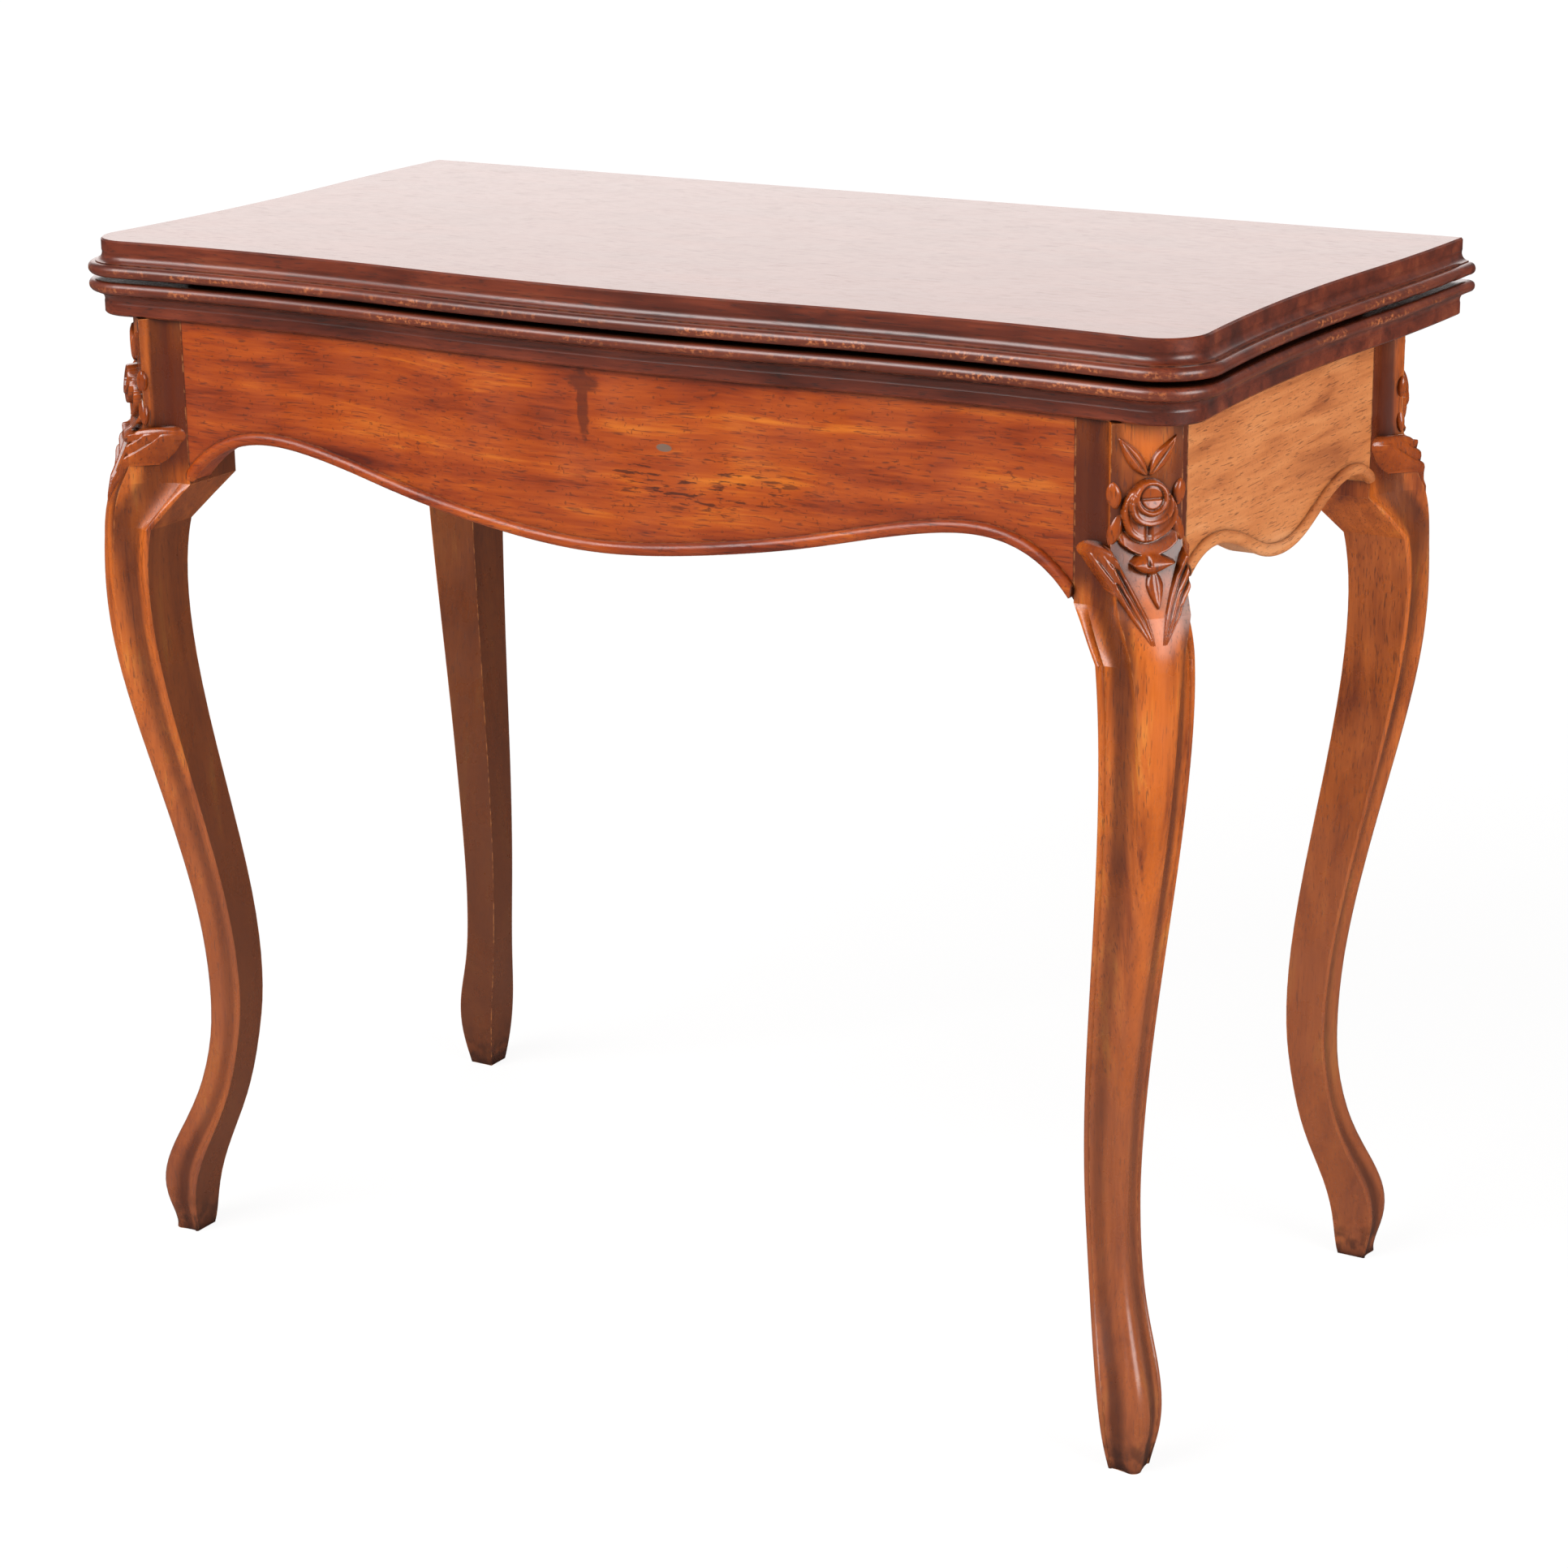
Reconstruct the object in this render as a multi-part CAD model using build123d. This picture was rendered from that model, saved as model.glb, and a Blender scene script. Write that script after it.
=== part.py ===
from build123d import *
from collections import namedtuple
import math
import os

# Folding card table, closed. Millimetres. The origin is on the floor under the middle of the
# frame, +X runs along the table, +Y to the back edge where the leaves are hinged, +Z up.

# Leading sizes
table_height = 750.0
leaf_thickness = 25.0
leaf_gap = 3.0
running_gap = 0.3
fit_gap = 0.05
cut_over = 5.0

# Leaf outline, on the arris of the moulded edge
arris_half_width = 430.0
arris_depth = 436.0
bow_half_length = 150.0
bow_rise = 6.5
ear_length = 38.0
ear_setback = 6.0

# Moulded edge: a fascia, a cove and a half-round bead that stands out furthest
fascia_height = 8.3
bead_radius = 4.4
bead_reach = 10.0
cove_quirk = 0.8
cove_hollow = 2.2
arris_ease = 1.2
moulding_lap = 6.0
hinge_arris_bevel = 2.0
board_inset = 3.0

# Baize, laid in a shallow bed on the playing side of each leaf
baize_border = 48.0
baize_thickness = 2.0
baize_bed = 0.7

# Frame
foot_inset_x = 38.6
foot_inset_y = 31.0
post_side = 51.0
post_joint_setback = 26.0
rail_thickness = 22.0
rail_setback = 4.6
rail_bead_radius = 4.3
rail_bead_drop = 1.0
tenon_length = 24.0
tenon_thickness = 9.0
tenon_shoulder = 6.0
tenon_height = 58.0
tenon_top_drop = 10.7

# Lower edge of the long rails, under the bead: each mark's drop below the frame's top, and its
# share of the way from the rail's middle to the post
front_joint_drop = 115.7
front_arch_share = 0.814
front_arch_drop = 82.2
front_shoulder_share = 0.688
front_shoulder_drop = 85.7
front_slope_share = 0.460
front_slope_drop = 103.2
front_foot_share = 0.247
front_foot_drop = 115.7
front_middle_drop = 122.7

# The same for the short rails
side_joint_drop = 106.7
side_arch_share = 0.756
side_arch_drop = 94.7
side_slope_share = 0.412
side_slope_drop = 105.7
side_foot_share = 0.189
side_foot_drop = 118.7
side_middle_drop = 122.7

# Leg, seen on its diagonal: how far the outer rib and the inner arris stand from the foot's centre,
# half the breadth across the side corners, the breadth of the bead on each corner, the depth of the
# hollow next to it, and the breadth and rise of the rib on the outer corner. The leg is set out in
# shares, of its height up to the post for the heights and of the post's side for the rest.
Station = namedtuple("Station", "height outer inner side bead hollow rib crown")
leg_stations = [
    Station(0.000, 0.275, -0.275, 0.275, 0.055, 0.008, 0.176, 0.047),
    Station(0.022, 0.306, -0.329, 0.337, 0.063, 0.014, 0.216, 0.055),
    Station(0.060, 0.410, -0.396, 0.412, 0.078, 0.029, 0.314, 0.078),
    Station(0.103, 0.318, -0.537, 0.429, 0.080, 0.031, 0.275, 0.071),
    Station(0.158, -0.008, -0.790, 0.390, 0.076, 0.029, 0.216, 0.059),
    Station(0.224, -0.294, -1.016, 0.361, 0.073, 0.029, 0.196, 0.053),
    Station(0.297, -0.408, -1.157, 0.369, 0.073, 0.031, 0.196, 0.053),
    Station(0.383, -0.371, -1.175, 0.398, 0.076, 0.035, 0.216, 0.059),
    Station(0.500, -0.149, -1.024, 0.439, 0.080, 0.041, 0.255, 0.067),
    Station(0.638, 0.239, -0.745, 0.494, 0.086, 0.047, 0.314, 0.078),
    Station(0.759, 0.561, -0.533, 0.549, 0.092, 0.053, 0.392, 0.094),
    Station(0.862, 0.686, -0.459, 0.594, 0.102, 0.057, 0.490, 0.106),
    Station(0.945, 0.643, -0.561, 0.622, 0.118, 0.057, 0.647, 0.098),
    Station(0.978, 0.565, -0.950, 0.672, 0.141, 0.061, 0.784, 0.070),
]
bead_rise = 0.36
knee_top_drop = 116.7
knee_top_outer = 24.0
knee_top_crown = 2.8
shelf_drop = 87.7
shelf_outer = 9.0
cant_start_drop = 70.7
cant_outer = 3.0
cant_crown = 1.0
cant_breadth = 46.0
post_strip = 9.0
post_cove = 4.0

# Swivel
bearer_thickness = 24.0
bearer_block_side = 20.0
spindle_radius = 7.0
spindle_tail_radius = 6.0
bush_wall = 3.0
washer_radius = 16.0
washer_thickness = 2.0
nut_across_flats = 22.0
nut_height = 9.0
nut_chamfer_radius = 12.2
tail_past_nut = 3.4
pivot_plate_side = 72.0
pivot_plate_thickness = 3.0
pivot_plate_corner = 5.0
pivot_screw_spread = 25.0
stop_offset_x = 150.0
stop_radius = 12.0
stop_height = 20.0
stop_chamfer = 1.5
stop_clearance = 4.3

# Wood screws
screw_shank_radius = 1.9
screw_head_radius = 3.8
screw_length = 13.0
hinge_screw_length = 11.0
slot_width = 0.9
slot_depth = 0.8

# Well for cards under the left half of the top
divider_thickness = 12.0
well_depth = 63.7
well_bottom_thickness = 8.0
cleat_height = 10.0
cleat_width = 12.0

# Card-table hinge: a link on two pins, in plates let into the meeting faces
hinge_inset_x = 100.0
pin_depth = 3.0
pin_radius = 1.1
pin_fit = 0.02
link_fit = 0.06
link_radius = 2.7
link_thickness = 4.4
slot_side_gap = 0.15
slot_end_gap = 0.35
plate_width = 16.0
plate_length = 44.0
plate_thickness = 2.4
knuckle_length = 12.0
knuckle_depth = 8.0
pin_end_gap = 0.5
plate_screw_near = 19.0
plate_screw_far = 35.0
meeting_gap = 0.3

# Heights worked out from the sizes above
upper_bottom_z = table_height - leaf_thickness
lower_top_z = upper_bottom_z - leaf_gap
lower_bottom_z = lower_top_z - leaf_thickness
frame_top_z = lower_bottom_z - running_gap
knee_top_z = frame_top_z - knee_top_drop
shelf_z = frame_top_z - shelf_drop
cant_start_z = frame_top_z - cant_start_drop
tenon_high = frame_top_z - tenon_top_drop
tenon_low = tenon_high - tenon_height
bearer_low_z = frame_top_z - bearer_thickness
well_bottom_z = frame_top_z - well_depth - well_bottom_thickness
divider_low_z = well_bottom_z - cleat_height

# Places on plan. The back edge is as far behind the middle as the front bead is before it.
hinge_edge_y = (arris_depth + bead_reach) / 2
arris_front_y = hinge_edge_y - arris_depth
foot_x = arris_half_width - foot_inset_x
foot_y = hinge_edge_y - foot_inset_y
post_half_diagonal = post_side / math.sqrt(2)
post_inner_corner = -post_joint_setback - post_half_diagonal
post_out = (post_half_diagonal - post_joint_setback) / math.sqrt(2)
post_out_x = foot_x + post_out
post_out_y = foot_y + post_out
post_in_x = post_out_x - post_side
post_in_y = post_out_y - post_side
rail_in_x = post_out_x - rail_thickness
rail_in_y = post_out_y - rail_thickness

# The pivot stands at half the leaf's depth both ways, so that a quarter turn brings the hinge edge
# over the middle of the frame. The stop meets the back rail, and after the turn the bearer's side.
pivot_x = hinge_edge_y / 2
pivot_y = hinge_edge_y / 2
stop_x = pivot_x - stop_offset_x
stop_y = rail_in_y - running_gap - stop_radius
stop_swing = math.hypot(stop_offset_x, stop_y - pivot_y) + stop_radius
bearer_width = 2 * (stop_y - stop_radius - running_gap - pivot_y)
bearer_left_x = pivot_x - bearer_width / 2
divider_right_x = pivot_x - stop_swing - stop_clearance
divider_left_x = divider_right_x - divider_thickness

# Hinge pins
hinge_x = arris_half_width - hinge_inset_x
hinge_pin_inset = pin_depth + (leaf_gap - meeting_gap) / 2
hinge_pin_y = hinge_edge_y - hinge_pin_inset
lower_pin_z = lower_top_z - pin_depth
upper_pin_z = upper_bottom_z + pin_depth
link_length = upper_pin_z - lower_pin_z
front = -1
back = 1


def box_between(low, high):
    """A block from its low corner to its high corner."""
    size = [b - a for a, b in zip(low, high)]
    middle = [(a + b) / 2 for a, b in zip(low, high)]
    return Pos(*middle) * Box(*size)


def peg(x, y, low_z, high_z, radius):
    """An upright round peg between two heights."""
    return Pos(x, y, (low_z + high_z) / 2) * Cylinder(radius, high_z - low_z)


def cross_pin(x, y, z, length, radius):
    """A round pin that lies along X."""
    return Pos(x, y, z) * Rot(0, 90, 0) * Cylinder(radius, length)


def group(pieces):
    """Separate pieces of one kind, kept as separate solids under one name."""
    return Compound(children=[solid for piece in pieces for solid in piece.solids()])


# The serpentine is a bow that swells outwards, then a long hollow, then the round ear at the corner.
# Each side is drawn as a distance along the side from the bow's middle and a setback from the
# bow's crown, so that the same curve serves the front and both sides.


class Serpentine:
    """One half side of the leaf: bow and hollow meet at a common tangent, as do hollow and ear."""

    def __init__(self, half_length, inset):
        self.inset = inset
        self.bow_radius = (bow_half_length**2 + bow_rise**2) / (2 * bow_rise)
        lean = math.asin(bow_half_length / self.bow_radius)
        run = half_length - ear_length - bow_half_length
        drop = ear_setback - bow_rise
        self.hollow_radius = (run**2 + drop**2) / (2 * (run * math.sin(lean) - drop * math.cos(lean)))
        self.hollow_at = bow_half_length + self.hollow_radius * math.sin(lean)
        self.hollow_centre = bow_rise - self.hollow_radius * math.cos(lean)
        self.lean = lean
        self.ear_at = half_length - ear_length

    def point(self, along):
        """Place along the side and setback of the curve, drawn parallel at the inset."""
        turn_at = bow_half_length - self.inset * math.sin(self.lean)
        if abs(along) <= turn_at:
            radius = self.bow_radius - self.inset
            return along, self.bow_radius - math.sqrt(radius**2 - along**2)
        radius = self.hollow_radius + self.inset
        off = self.hollow_at - abs(along)
        return along, self.hollow_centre + math.sqrt(radius**2 - off**2)


def leaf_path():
    """The arris line of a leaf, from the hinge edge on the right round the front to the left."""
    long_side = Serpentine(arris_half_width, 0)
    short_side = Serpentine(arris_depth, 0)
    middle_of_hollow = (bow_half_length + long_side.ear_at) / 2
    middle_of_short_hollow = (bow_half_length + short_side.ear_at) / 2

    def on_front(along, hand):
        place, setback = long_side.point(along)
        return (hand * place, arris_front_y + setback)

    def on_side(along, hand):
        place, setback = short_side.point(along)
        return (hand * (arris_half_width - setback), hinge_edge_y - place)

    def half(hand):
        bow = ThreePointArc(
            on_side(0, hand), on_side(bow_half_length / 2, hand), on_side(bow_half_length, hand)
        )
        hollow = ThreePointArc(
            bow @ 1, on_side(middle_of_short_hollow, hand), on_side(short_side.ear_at, hand)
        )
        ear = TangentArc(hollow @ 1, on_front(long_side.ear_at, hand), tangent=hollow % 1)
        front_hollow = ThreePointArc(
            ear @ 1, on_front(middle_of_hollow, hand), on_front(bow_half_length, hand)
        )
        return [bow, hollow, ear, front_hollow]

    front_bow = ThreePointArc(
        on_front(bow_half_length, 1), on_front(0, 1), on_front(bow_half_length, -1)
    )
    return Wire(half(1) + [front_bow] + half(-1))


def leaf_outline():
    """The whole plan of a leaf inside its arris line."""
    path = leaf_path()
    return make_face(path.edges() + [Line(path @ 0, path @ 1)])


def moulding_profile():
    """Fascia, cove and bead, drawn outwards from the arris with the bead at the bottom."""
    bead_top = 2 * bead_radius
    bead_centre = bead_reach - bead_radius
    fascia_low = leaf_thickness - fascia_height
    cove_low = bead_top + cove_quirk
    outline = [
        Line((-moulding_lap, 0), (bead_centre, 0)),
        ThreePointArc((bead_centre, 0), (bead_reach, bead_radius), (bead_centre, bead_top)),
        Line((bead_centre, bead_top), (bead_centre - cove_quirk, bead_top)),
        Line((bead_centre - cove_quirk, bead_top), (bead_centre - cove_quirk, cove_low)),
        SagittaArc((bead_centre - cove_quirk, cove_low), (0, fascia_low), cove_hollow),
        Line((0, fascia_low), (0, leaf_thickness - arris_ease)),
        Line((0, leaf_thickness - arris_ease), (-arris_ease, leaf_thickness)),
        Line((-arris_ease, leaf_thickness), (-moulding_lap, leaf_thickness)),
        Line((-moulding_lap, leaf_thickness), (-moulding_lap, 0)),
    ]
    return make_face(outline)


def plain_leaf():
    """A leaf with its playing face down on z = 0 and its show face up."""
    start = Plane(origin=(arris_half_width, hinge_edge_y, 0), x_dir=(1, 0, 0), z_dir=(0, -1, 0))
    lipping = sweep(start * moulding_profile(), path=leaf_path())
    board = extrude(offset(leaf_outline(), -board_inset), leaf_thickness)
    back_strip = box_between(
        (-arris_half_width + moulding_lap, hinge_edge_y - moulding_lap, 0),
        (arris_half_width - moulding_lap, hinge_edge_y, leaf_thickness),
    )
    return board + (lipping - hinge_bevel()) + (back_strip - hinge_bevel())


def hinge_bevel():
    """The bevel on the back edge, beside the playing face, which lets the leaves pass in folding."""
    reach = arris_half_width + bead_reach + cut_over
    corner = [
        (hinge_edge_y - hinge_arris_bevel - cut_over, -cut_over),
        (hinge_edge_y + cut_over, -cut_over),
        (hinge_edge_y + cut_over, hinge_arris_bevel + cut_over),
    ]
    side_view = make_face(Plane.YZ * Polyline(corner, close=True))
    return Pos(-reach, 0, 0) * extrude(side_view, 2 * reach, dir=(1, 0, 0))


def baize_outline(growth):
    """The baize's outline: the leaf's own serpentine, parallel at the border's width."""
    return offset(leaf_outline(), growth - baize_border)


def baize(low_z):
    """A sheet of baize that lies in its bed and stands a little above the border."""
    return extrude(Pos(0, 0, low_z) * baize_outline(0), baize_thickness)


def baize_bed_waste(low_z):
    """The shallow bed that the baize lies in."""
    return extrude(Pos(0, 0, low_z) * baize_outline(fit_gap), baize_bed)


def plate_profile():
    """Side view of a hinge plate: X into the leaf from the back edge, Y down from the playing face."""
    outline = [
        (0, knuckle_depth),
        (0, hinge_arris_bevel),
        (hinge_arris_bevel, 0),
        (plate_length, 0),
        (plate_length, plate_thickness),
        (knuckle_length, plate_thickness),
        (knuckle_length, knuckle_depth),
    ]
    return make_face(Polyline(outline, close=True))


def countersunk_screw(x, y, face_z, into, shank_length, head_radius, shank_radius):
    """A slotted countersunk screw, flush with a face, that runs up (+1) or down (-1) from it."""
    head_height = head_radius - shank_radius
    head = Cone(head_radius, shank_radius, head_height)
    head = Pos(0, 0, head_height / 2) * head
    shank = Pos(0, 0, head_height + shank_length / 2) * Cylinder(shank_radius, shank_length)
    slot = Box(2 * head_radius, slot_width, 2 * slot_depth)
    screw = head + shank - slot
    turn = Rot(0 if into > 0 else 180, 0, 0)
    return Pos(x, y, face_z) * turn * screw


def screw_hole(x, y, face_z, into, shank_length, head_radius, shank_radius):
    """The countersunk hole for one screw, with its fit."""
    bore_radius = shank_radius + fit_gap
    head_height = head_radius - shank_radius
    head = Pos(0, 0, head_height / 2) * Cone(head_radius + fit_gap, bore_radius, head_height)
    lip = Pos(0, 0, -cut_over / 2) * Cylinder(head_radius + fit_gap, cut_over)
    bore_length = head_height + shank_length + running_gap
    bore = Pos(0, 0, bore_length / 2) * Cylinder(bore_radius, bore_length)
    turn = Rot(0 if into > 0 else 180, 0, 0)
    return Pos(x, y, face_z) * turn * (head + lip + bore)


def hinge_screw_places():
    """Where the two screws of each hinge plate stand."""
    places = []
    for x in (-hinge_x, hinge_x):
        for along in (plate_screw_near, plate_screw_far):
            places.append((x, hinge_edge_y - along))
    return places


def hinge_plate(x, playing_z, into, grown):
    """One plate. The playing face looks away from the side that the plate is let into."""
    flat = Plane(origin=(x, hinge_edge_y, playing_z), x_dir=(0, -1, 0), z_dir=(-into, 0, 0))
    return extrude(flat * plate_profile(), (plate_width + grown) / 2, both=True)


def hinge_plates(playing_z, pin_z, into):
    """Both plates of a leaf, each with its slot for the link, its pin hole and screw holes."""
    plates = []
    for x in (-hinge_x, hinge_x):
        plate = hinge_plate(x, playing_z, into, 0)
        slot_half = link_thickness / 2 + slot_side_gap
        slot_end = link_radius + slot_end_gap
        slot = box_between(
            (x - slot_half, hinge_pin_y - slot_end, min(pin_z - into * cut_over, pin_z + into * slot_end)),
            (x + slot_half, hinge_edge_y + cut_over, max(pin_z - into * cut_over, pin_z + into * slot_end)),
        )
        plate -= slot
        plate -= cross_pin(x, hinge_pin_y, pin_z, plate_width + cut_over, pin_radius + pin_fit)
        plates.append(plate)
    for x, y in hinge_screw_places():
        hole = screw_hole(x, y, playing_z, into, hinge_screw_length, screw_head_radius, screw_shank_radius)
        plates = [plate - hole for plate in plates]
    return group(plates)


def hinge_pins(pin_z):
    """The two pins of one leaf."""
    length = plate_width - pin_end_gap
    return group([cross_pin(x, hinge_pin_y, pin_z, length, pin_radius) for x in (-hinge_x, hinge_x)])


def hinge_screws(playing_z, into):
    """The four plate screws of one leaf."""
    return group([
        countersunk_screw(x, y, playing_z, into, hinge_screw_length, screw_head_radius, screw_shank_radius)
        for x, y in hinge_screw_places()
    ])


def hinge_links():
    """Two flat links with rounded ends, bored for the pins of both leaves."""
    links = []
    for x in (-hinge_x, hinge_x):
        flat = Plane(origin=(x, hinge_pin_y, (lower_pin_z + upper_pin_z) / 2), x_dir=(0, 0, 1), z_dir=(1, 0, 0))
        link = extrude(flat * SlotCenterToCenter(link_length, 2 * link_radius), link_thickness / 2, both=True)
        for pin_z in (lower_pin_z, upper_pin_z):
            link -= cross_pin(x, hinge_pin_y, pin_z, link_thickness + cut_over, pin_radius + link_fit)
        links.append(link)
    return group(links)


def hinge_waste(playing_z, into):
    """What is cut out of a leaf for its plates and their screws."""
    waste = [hinge_plate(x, playing_z, into, 2 * fit_gap) for x in (-hinge_x, hinge_x)]
    for x, y in hinge_screw_places():
        waste.append(
            screw_hole(x, y, playing_z, into, hinge_screw_length, screw_head_radius, screw_shank_radius)
        )
    return waste


def upper_leaf():
    """The leaf that shows: moulded edge with its bead down, baize bed in the playing face below."""
    leaf = plain_leaf()
    leaf = Pos(0, 0, upper_bottom_z) * leaf
    leaf -= baize_bed_waste(upper_bottom_z)
    for waste in hinge_waste(upper_bottom_z, 1):
        leaf -= waste
    return leaf


def lower_leaf():
    """The same leaf turned over, let in below for the pivot plate and the stop's screw."""
    leaf = plain_leaf()
    leaf = Pos(0, 0, lower_top_z) * mirror(leaf, about=Plane.XY)
    leaf -= baize_bed_waste(lower_top_z - baize_bed)
    for waste in hinge_waste(lower_top_z, -1):
        leaf -= waste
    leaf -= Pos(pivot_x, pivot_y, lower_bottom_z + pivot_plate_thickness / 2) * Box(
        pivot_plate_side + fit_gap, pivot_plate_side + fit_gap, pivot_plate_thickness
    )
    for x, y in pivot_screw_places():
        leaf -= screw_hole(x, y, lower_bottom_z, 1, screw_length, screw_head_radius, screw_shank_radius)
    stop_hole_top = lower_bottom_z + screw_length + running_gap
    leaf -= peg(stop_x, stop_y, lower_bottom_z, stop_hole_top, screw_shank_radius + fit_gap)
    return leaf


def pivot_screw_places():
    """The four screws of the pivot plate stand on a square."""
    spread = (-pivot_screw_spread, pivot_screw_spread)
    return [(pivot_x + dx, pivot_y + dy) for dx in spread for dy in spread]


def pivot_plate():
    """Iron plate, let in flush under the lower leaf, bored for the spindle."""
    outline = RectangleRounded(pivot_plate_side, pivot_plate_side, pivot_plate_corner)
    plate = extrude(Pos(pivot_x, pivot_y, lower_bottom_z) * outline, pivot_plate_thickness)
    plate -= peg(pivot_x, pivot_y, lower_bottom_z - cut_over, table_height, spindle_radius)
    for x, y in pivot_screw_places():
        plate -= screw_hole(x, y, lower_bottom_z, 1, screw_length, screw_head_radius, screw_shank_radius)
    return plate


def pivot_spindle():
    """Spindle riveted into the plate; its thinner tail takes the washer and the nut."""
    shoulder_z = bearer_low_z - running_gap
    tail_z = shoulder_z - washer_thickness - nut_height - tail_past_nut
    body = peg(pivot_x, pivot_y, shoulder_z, lower_bottom_z + pivot_plate_thickness, spindle_radius)
    tail = peg(pivot_x, pivot_y, tail_z, shoulder_z, spindle_tail_radius)
    return body + tail


def pivot_washer():
    """Plain washer on the tail, under the bearer."""
    top_z = bearer_low_z - running_gap
    disc = peg(pivot_x, pivot_y, top_z - washer_thickness, top_z, washer_radius)
    return disc - peg(pivot_x, pivot_y, 0, table_height, spindle_tail_radius + fit_gap)


def pivot_nut():
    """Hexagon nut with its corners turned off."""
    top_z = bearer_low_z - running_gap - washer_thickness
    across_corners = nut_across_flats / math.sqrt(3)
    outline = Pos(pivot_x, pivot_y, top_z - nut_height) * RegularPolygon(across_corners, 6)
    nut = extrude(outline, nut_height)
    nut &= Pos(pivot_x, pivot_y, top_z - nut_height / 2) * Cylinder(nut_chamfer_radius, nut_height)
    return nut - peg(pivot_x, pivot_y, 0, table_height, spindle_tail_radius + fit_gap)


def pivot_screws():
    """The pivot plate's screws."""
    return group([
        countersunk_screw(x, y, lower_bottom_z, 1, screw_length, screw_head_radius, screw_shank_radius)
        for x, y in pivot_screw_places()
    ])


def stop_peg():
    """Round stop under the lower leaf, which meets the back rail and, a quarter turn on, the bearer."""
    low_z = lower_bottom_z - stop_height
    block = peg(stop_x, stop_y, low_z, lower_bottom_z, stop_radius)
    block = chamfer(block.edges().group_by(Axis.Z)[0], stop_chamfer)
    return block - screw_hole(stop_x, stop_y, low_z, 1, stop_height, screw_head_radius, screw_shank_radius)


def stop_screw():
    """The screw that holds the stop."""
    low_z = lower_bottom_z - stop_height
    head_height = screw_head_radius - screw_shank_radius
    length = stop_height - head_height + screw_length
    return countersunk_screw(stop_x, stop_y, low_z, 1, length, screw_head_radius, screw_shank_radius)


def bush_radius():
    """Outside of the bush in the bearer."""
    return spindle_radius + fit_gap + bush_wall


def pivot_bearer():
    """Cross rail under the top, bored for the bush."""
    bearer = box_between(
        (bearer_left_x, -rail_in_y, bearer_low_z), (bearer_left_x + bearer_width, rail_in_y, frame_top_z)
    )
    return bearer - peg(pivot_x, pivot_y, 0, table_height, bush_radius())


def pivot_bush():
    """Brass sleeve that the spindle turns in."""
    sleeve = peg(pivot_x, pivot_y, bearer_low_z, frame_top_z, bush_radius())
    return sleeve - peg(pivot_x, pivot_y, 0, table_height, spindle_radius + fit_gap)


def bearer_blocks():
    """Glue blocks in the angle under each end of the bearer."""
    blocks = []
    for end in (front, back):
        corner = [
            (end * rail_in_y, bearer_low_z),
            (end * (rail_in_y - bearer_block_side), bearer_low_z),
            (end * rail_in_y, bearer_low_z - bearer_block_side),
        ]
        side_view = make_face(Plane.YZ * Polyline(corner, close=True))
        blocks.append(Pos(bearer_left_x, 0, 0) * extrude(side_view, bearer_width, dir=(1, 0, 0)))
    return group(blocks)


def well_divider():
    """Upright board between the well and the space under the pivot."""
    return box_between(
        (divider_left_x, -rail_in_y, divider_low_z), (divider_right_x, rail_in_y, frame_top_z)
    )


def well_bottom():
    """Bottom board of the well, notched round the two posts."""
    top_z = well_bottom_z + well_bottom_thickness
    board = box_between((-rail_in_x, -rail_in_y, well_bottom_z), (divider_left_x, rail_in_y, top_z))
    for side in (front, back):
        board -= post_envelope(-1, side)
    return board


def well_cleats():
    """Strips glued to the rails and the divider, which carry the bottom board."""
    low_z = well_bottom_z - cleat_height
    cleats = []
    for side in (front, back):
        near, far = sorted((side * rail_in_y, side * (rail_in_y - cleat_width)))
        cleats.append(box_between((-post_in_x, near, low_z), (divider_left_x, far, well_bottom_z)))
    inside = rail_in_y - cleat_width
    cleats.append(
        box_between((divider_left_x - cleat_width, -inside, low_z), (divider_left_x, inside, well_bottom_z))
    )
    cleats.append(
        box_between((-rail_in_x, -post_in_y, low_z), (cleat_width - rail_in_x, post_in_y, well_bottom_z))
    )
    return group(cleats)


def post_envelope(hand, side):
    """The square of one post through the whole height, to notch other pieces with."""
    near_x, far_x = sorted((hand * post_in_x, hand * post_out_x))
    near_y, far_y = sorted((side * post_in_y, side * post_out_y))
    return box_between((near_x, near_y, 0), (far_x, far_y, table_height))


def long_tenon(hand, side, grown):
    """Tenon of a front or back rail in its post."""
    high_y = post_out_y - tenon_shoulder
    low_y = high_y - tenon_thickness
    near_x, far_x = sorted((hand * (post_in_x - grown), hand * (post_in_x + tenon_length)))
    near_y, far_y = sorted((side * low_y, side * high_y))
    return box_between((near_x, near_y, tenon_low), (far_x, far_y, tenon_high))


def short_tenon(hand, side, grown):
    """Tenon of a side rail in its post."""
    high_x = post_out_x - tenon_shoulder
    low_x = high_x - tenon_thickness
    near_x, far_x = sorted((hand * low_x, hand * high_x))
    near_y, far_y = sorted((side * (post_in_y - grown), side * (post_in_y + tenon_length)))
    return box_between((near_x, near_y, tenon_low), (far_x, far_y, tenon_high))


# The legs. Every level is drawn with X outwards along the diagonal and Y across it.


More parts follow.
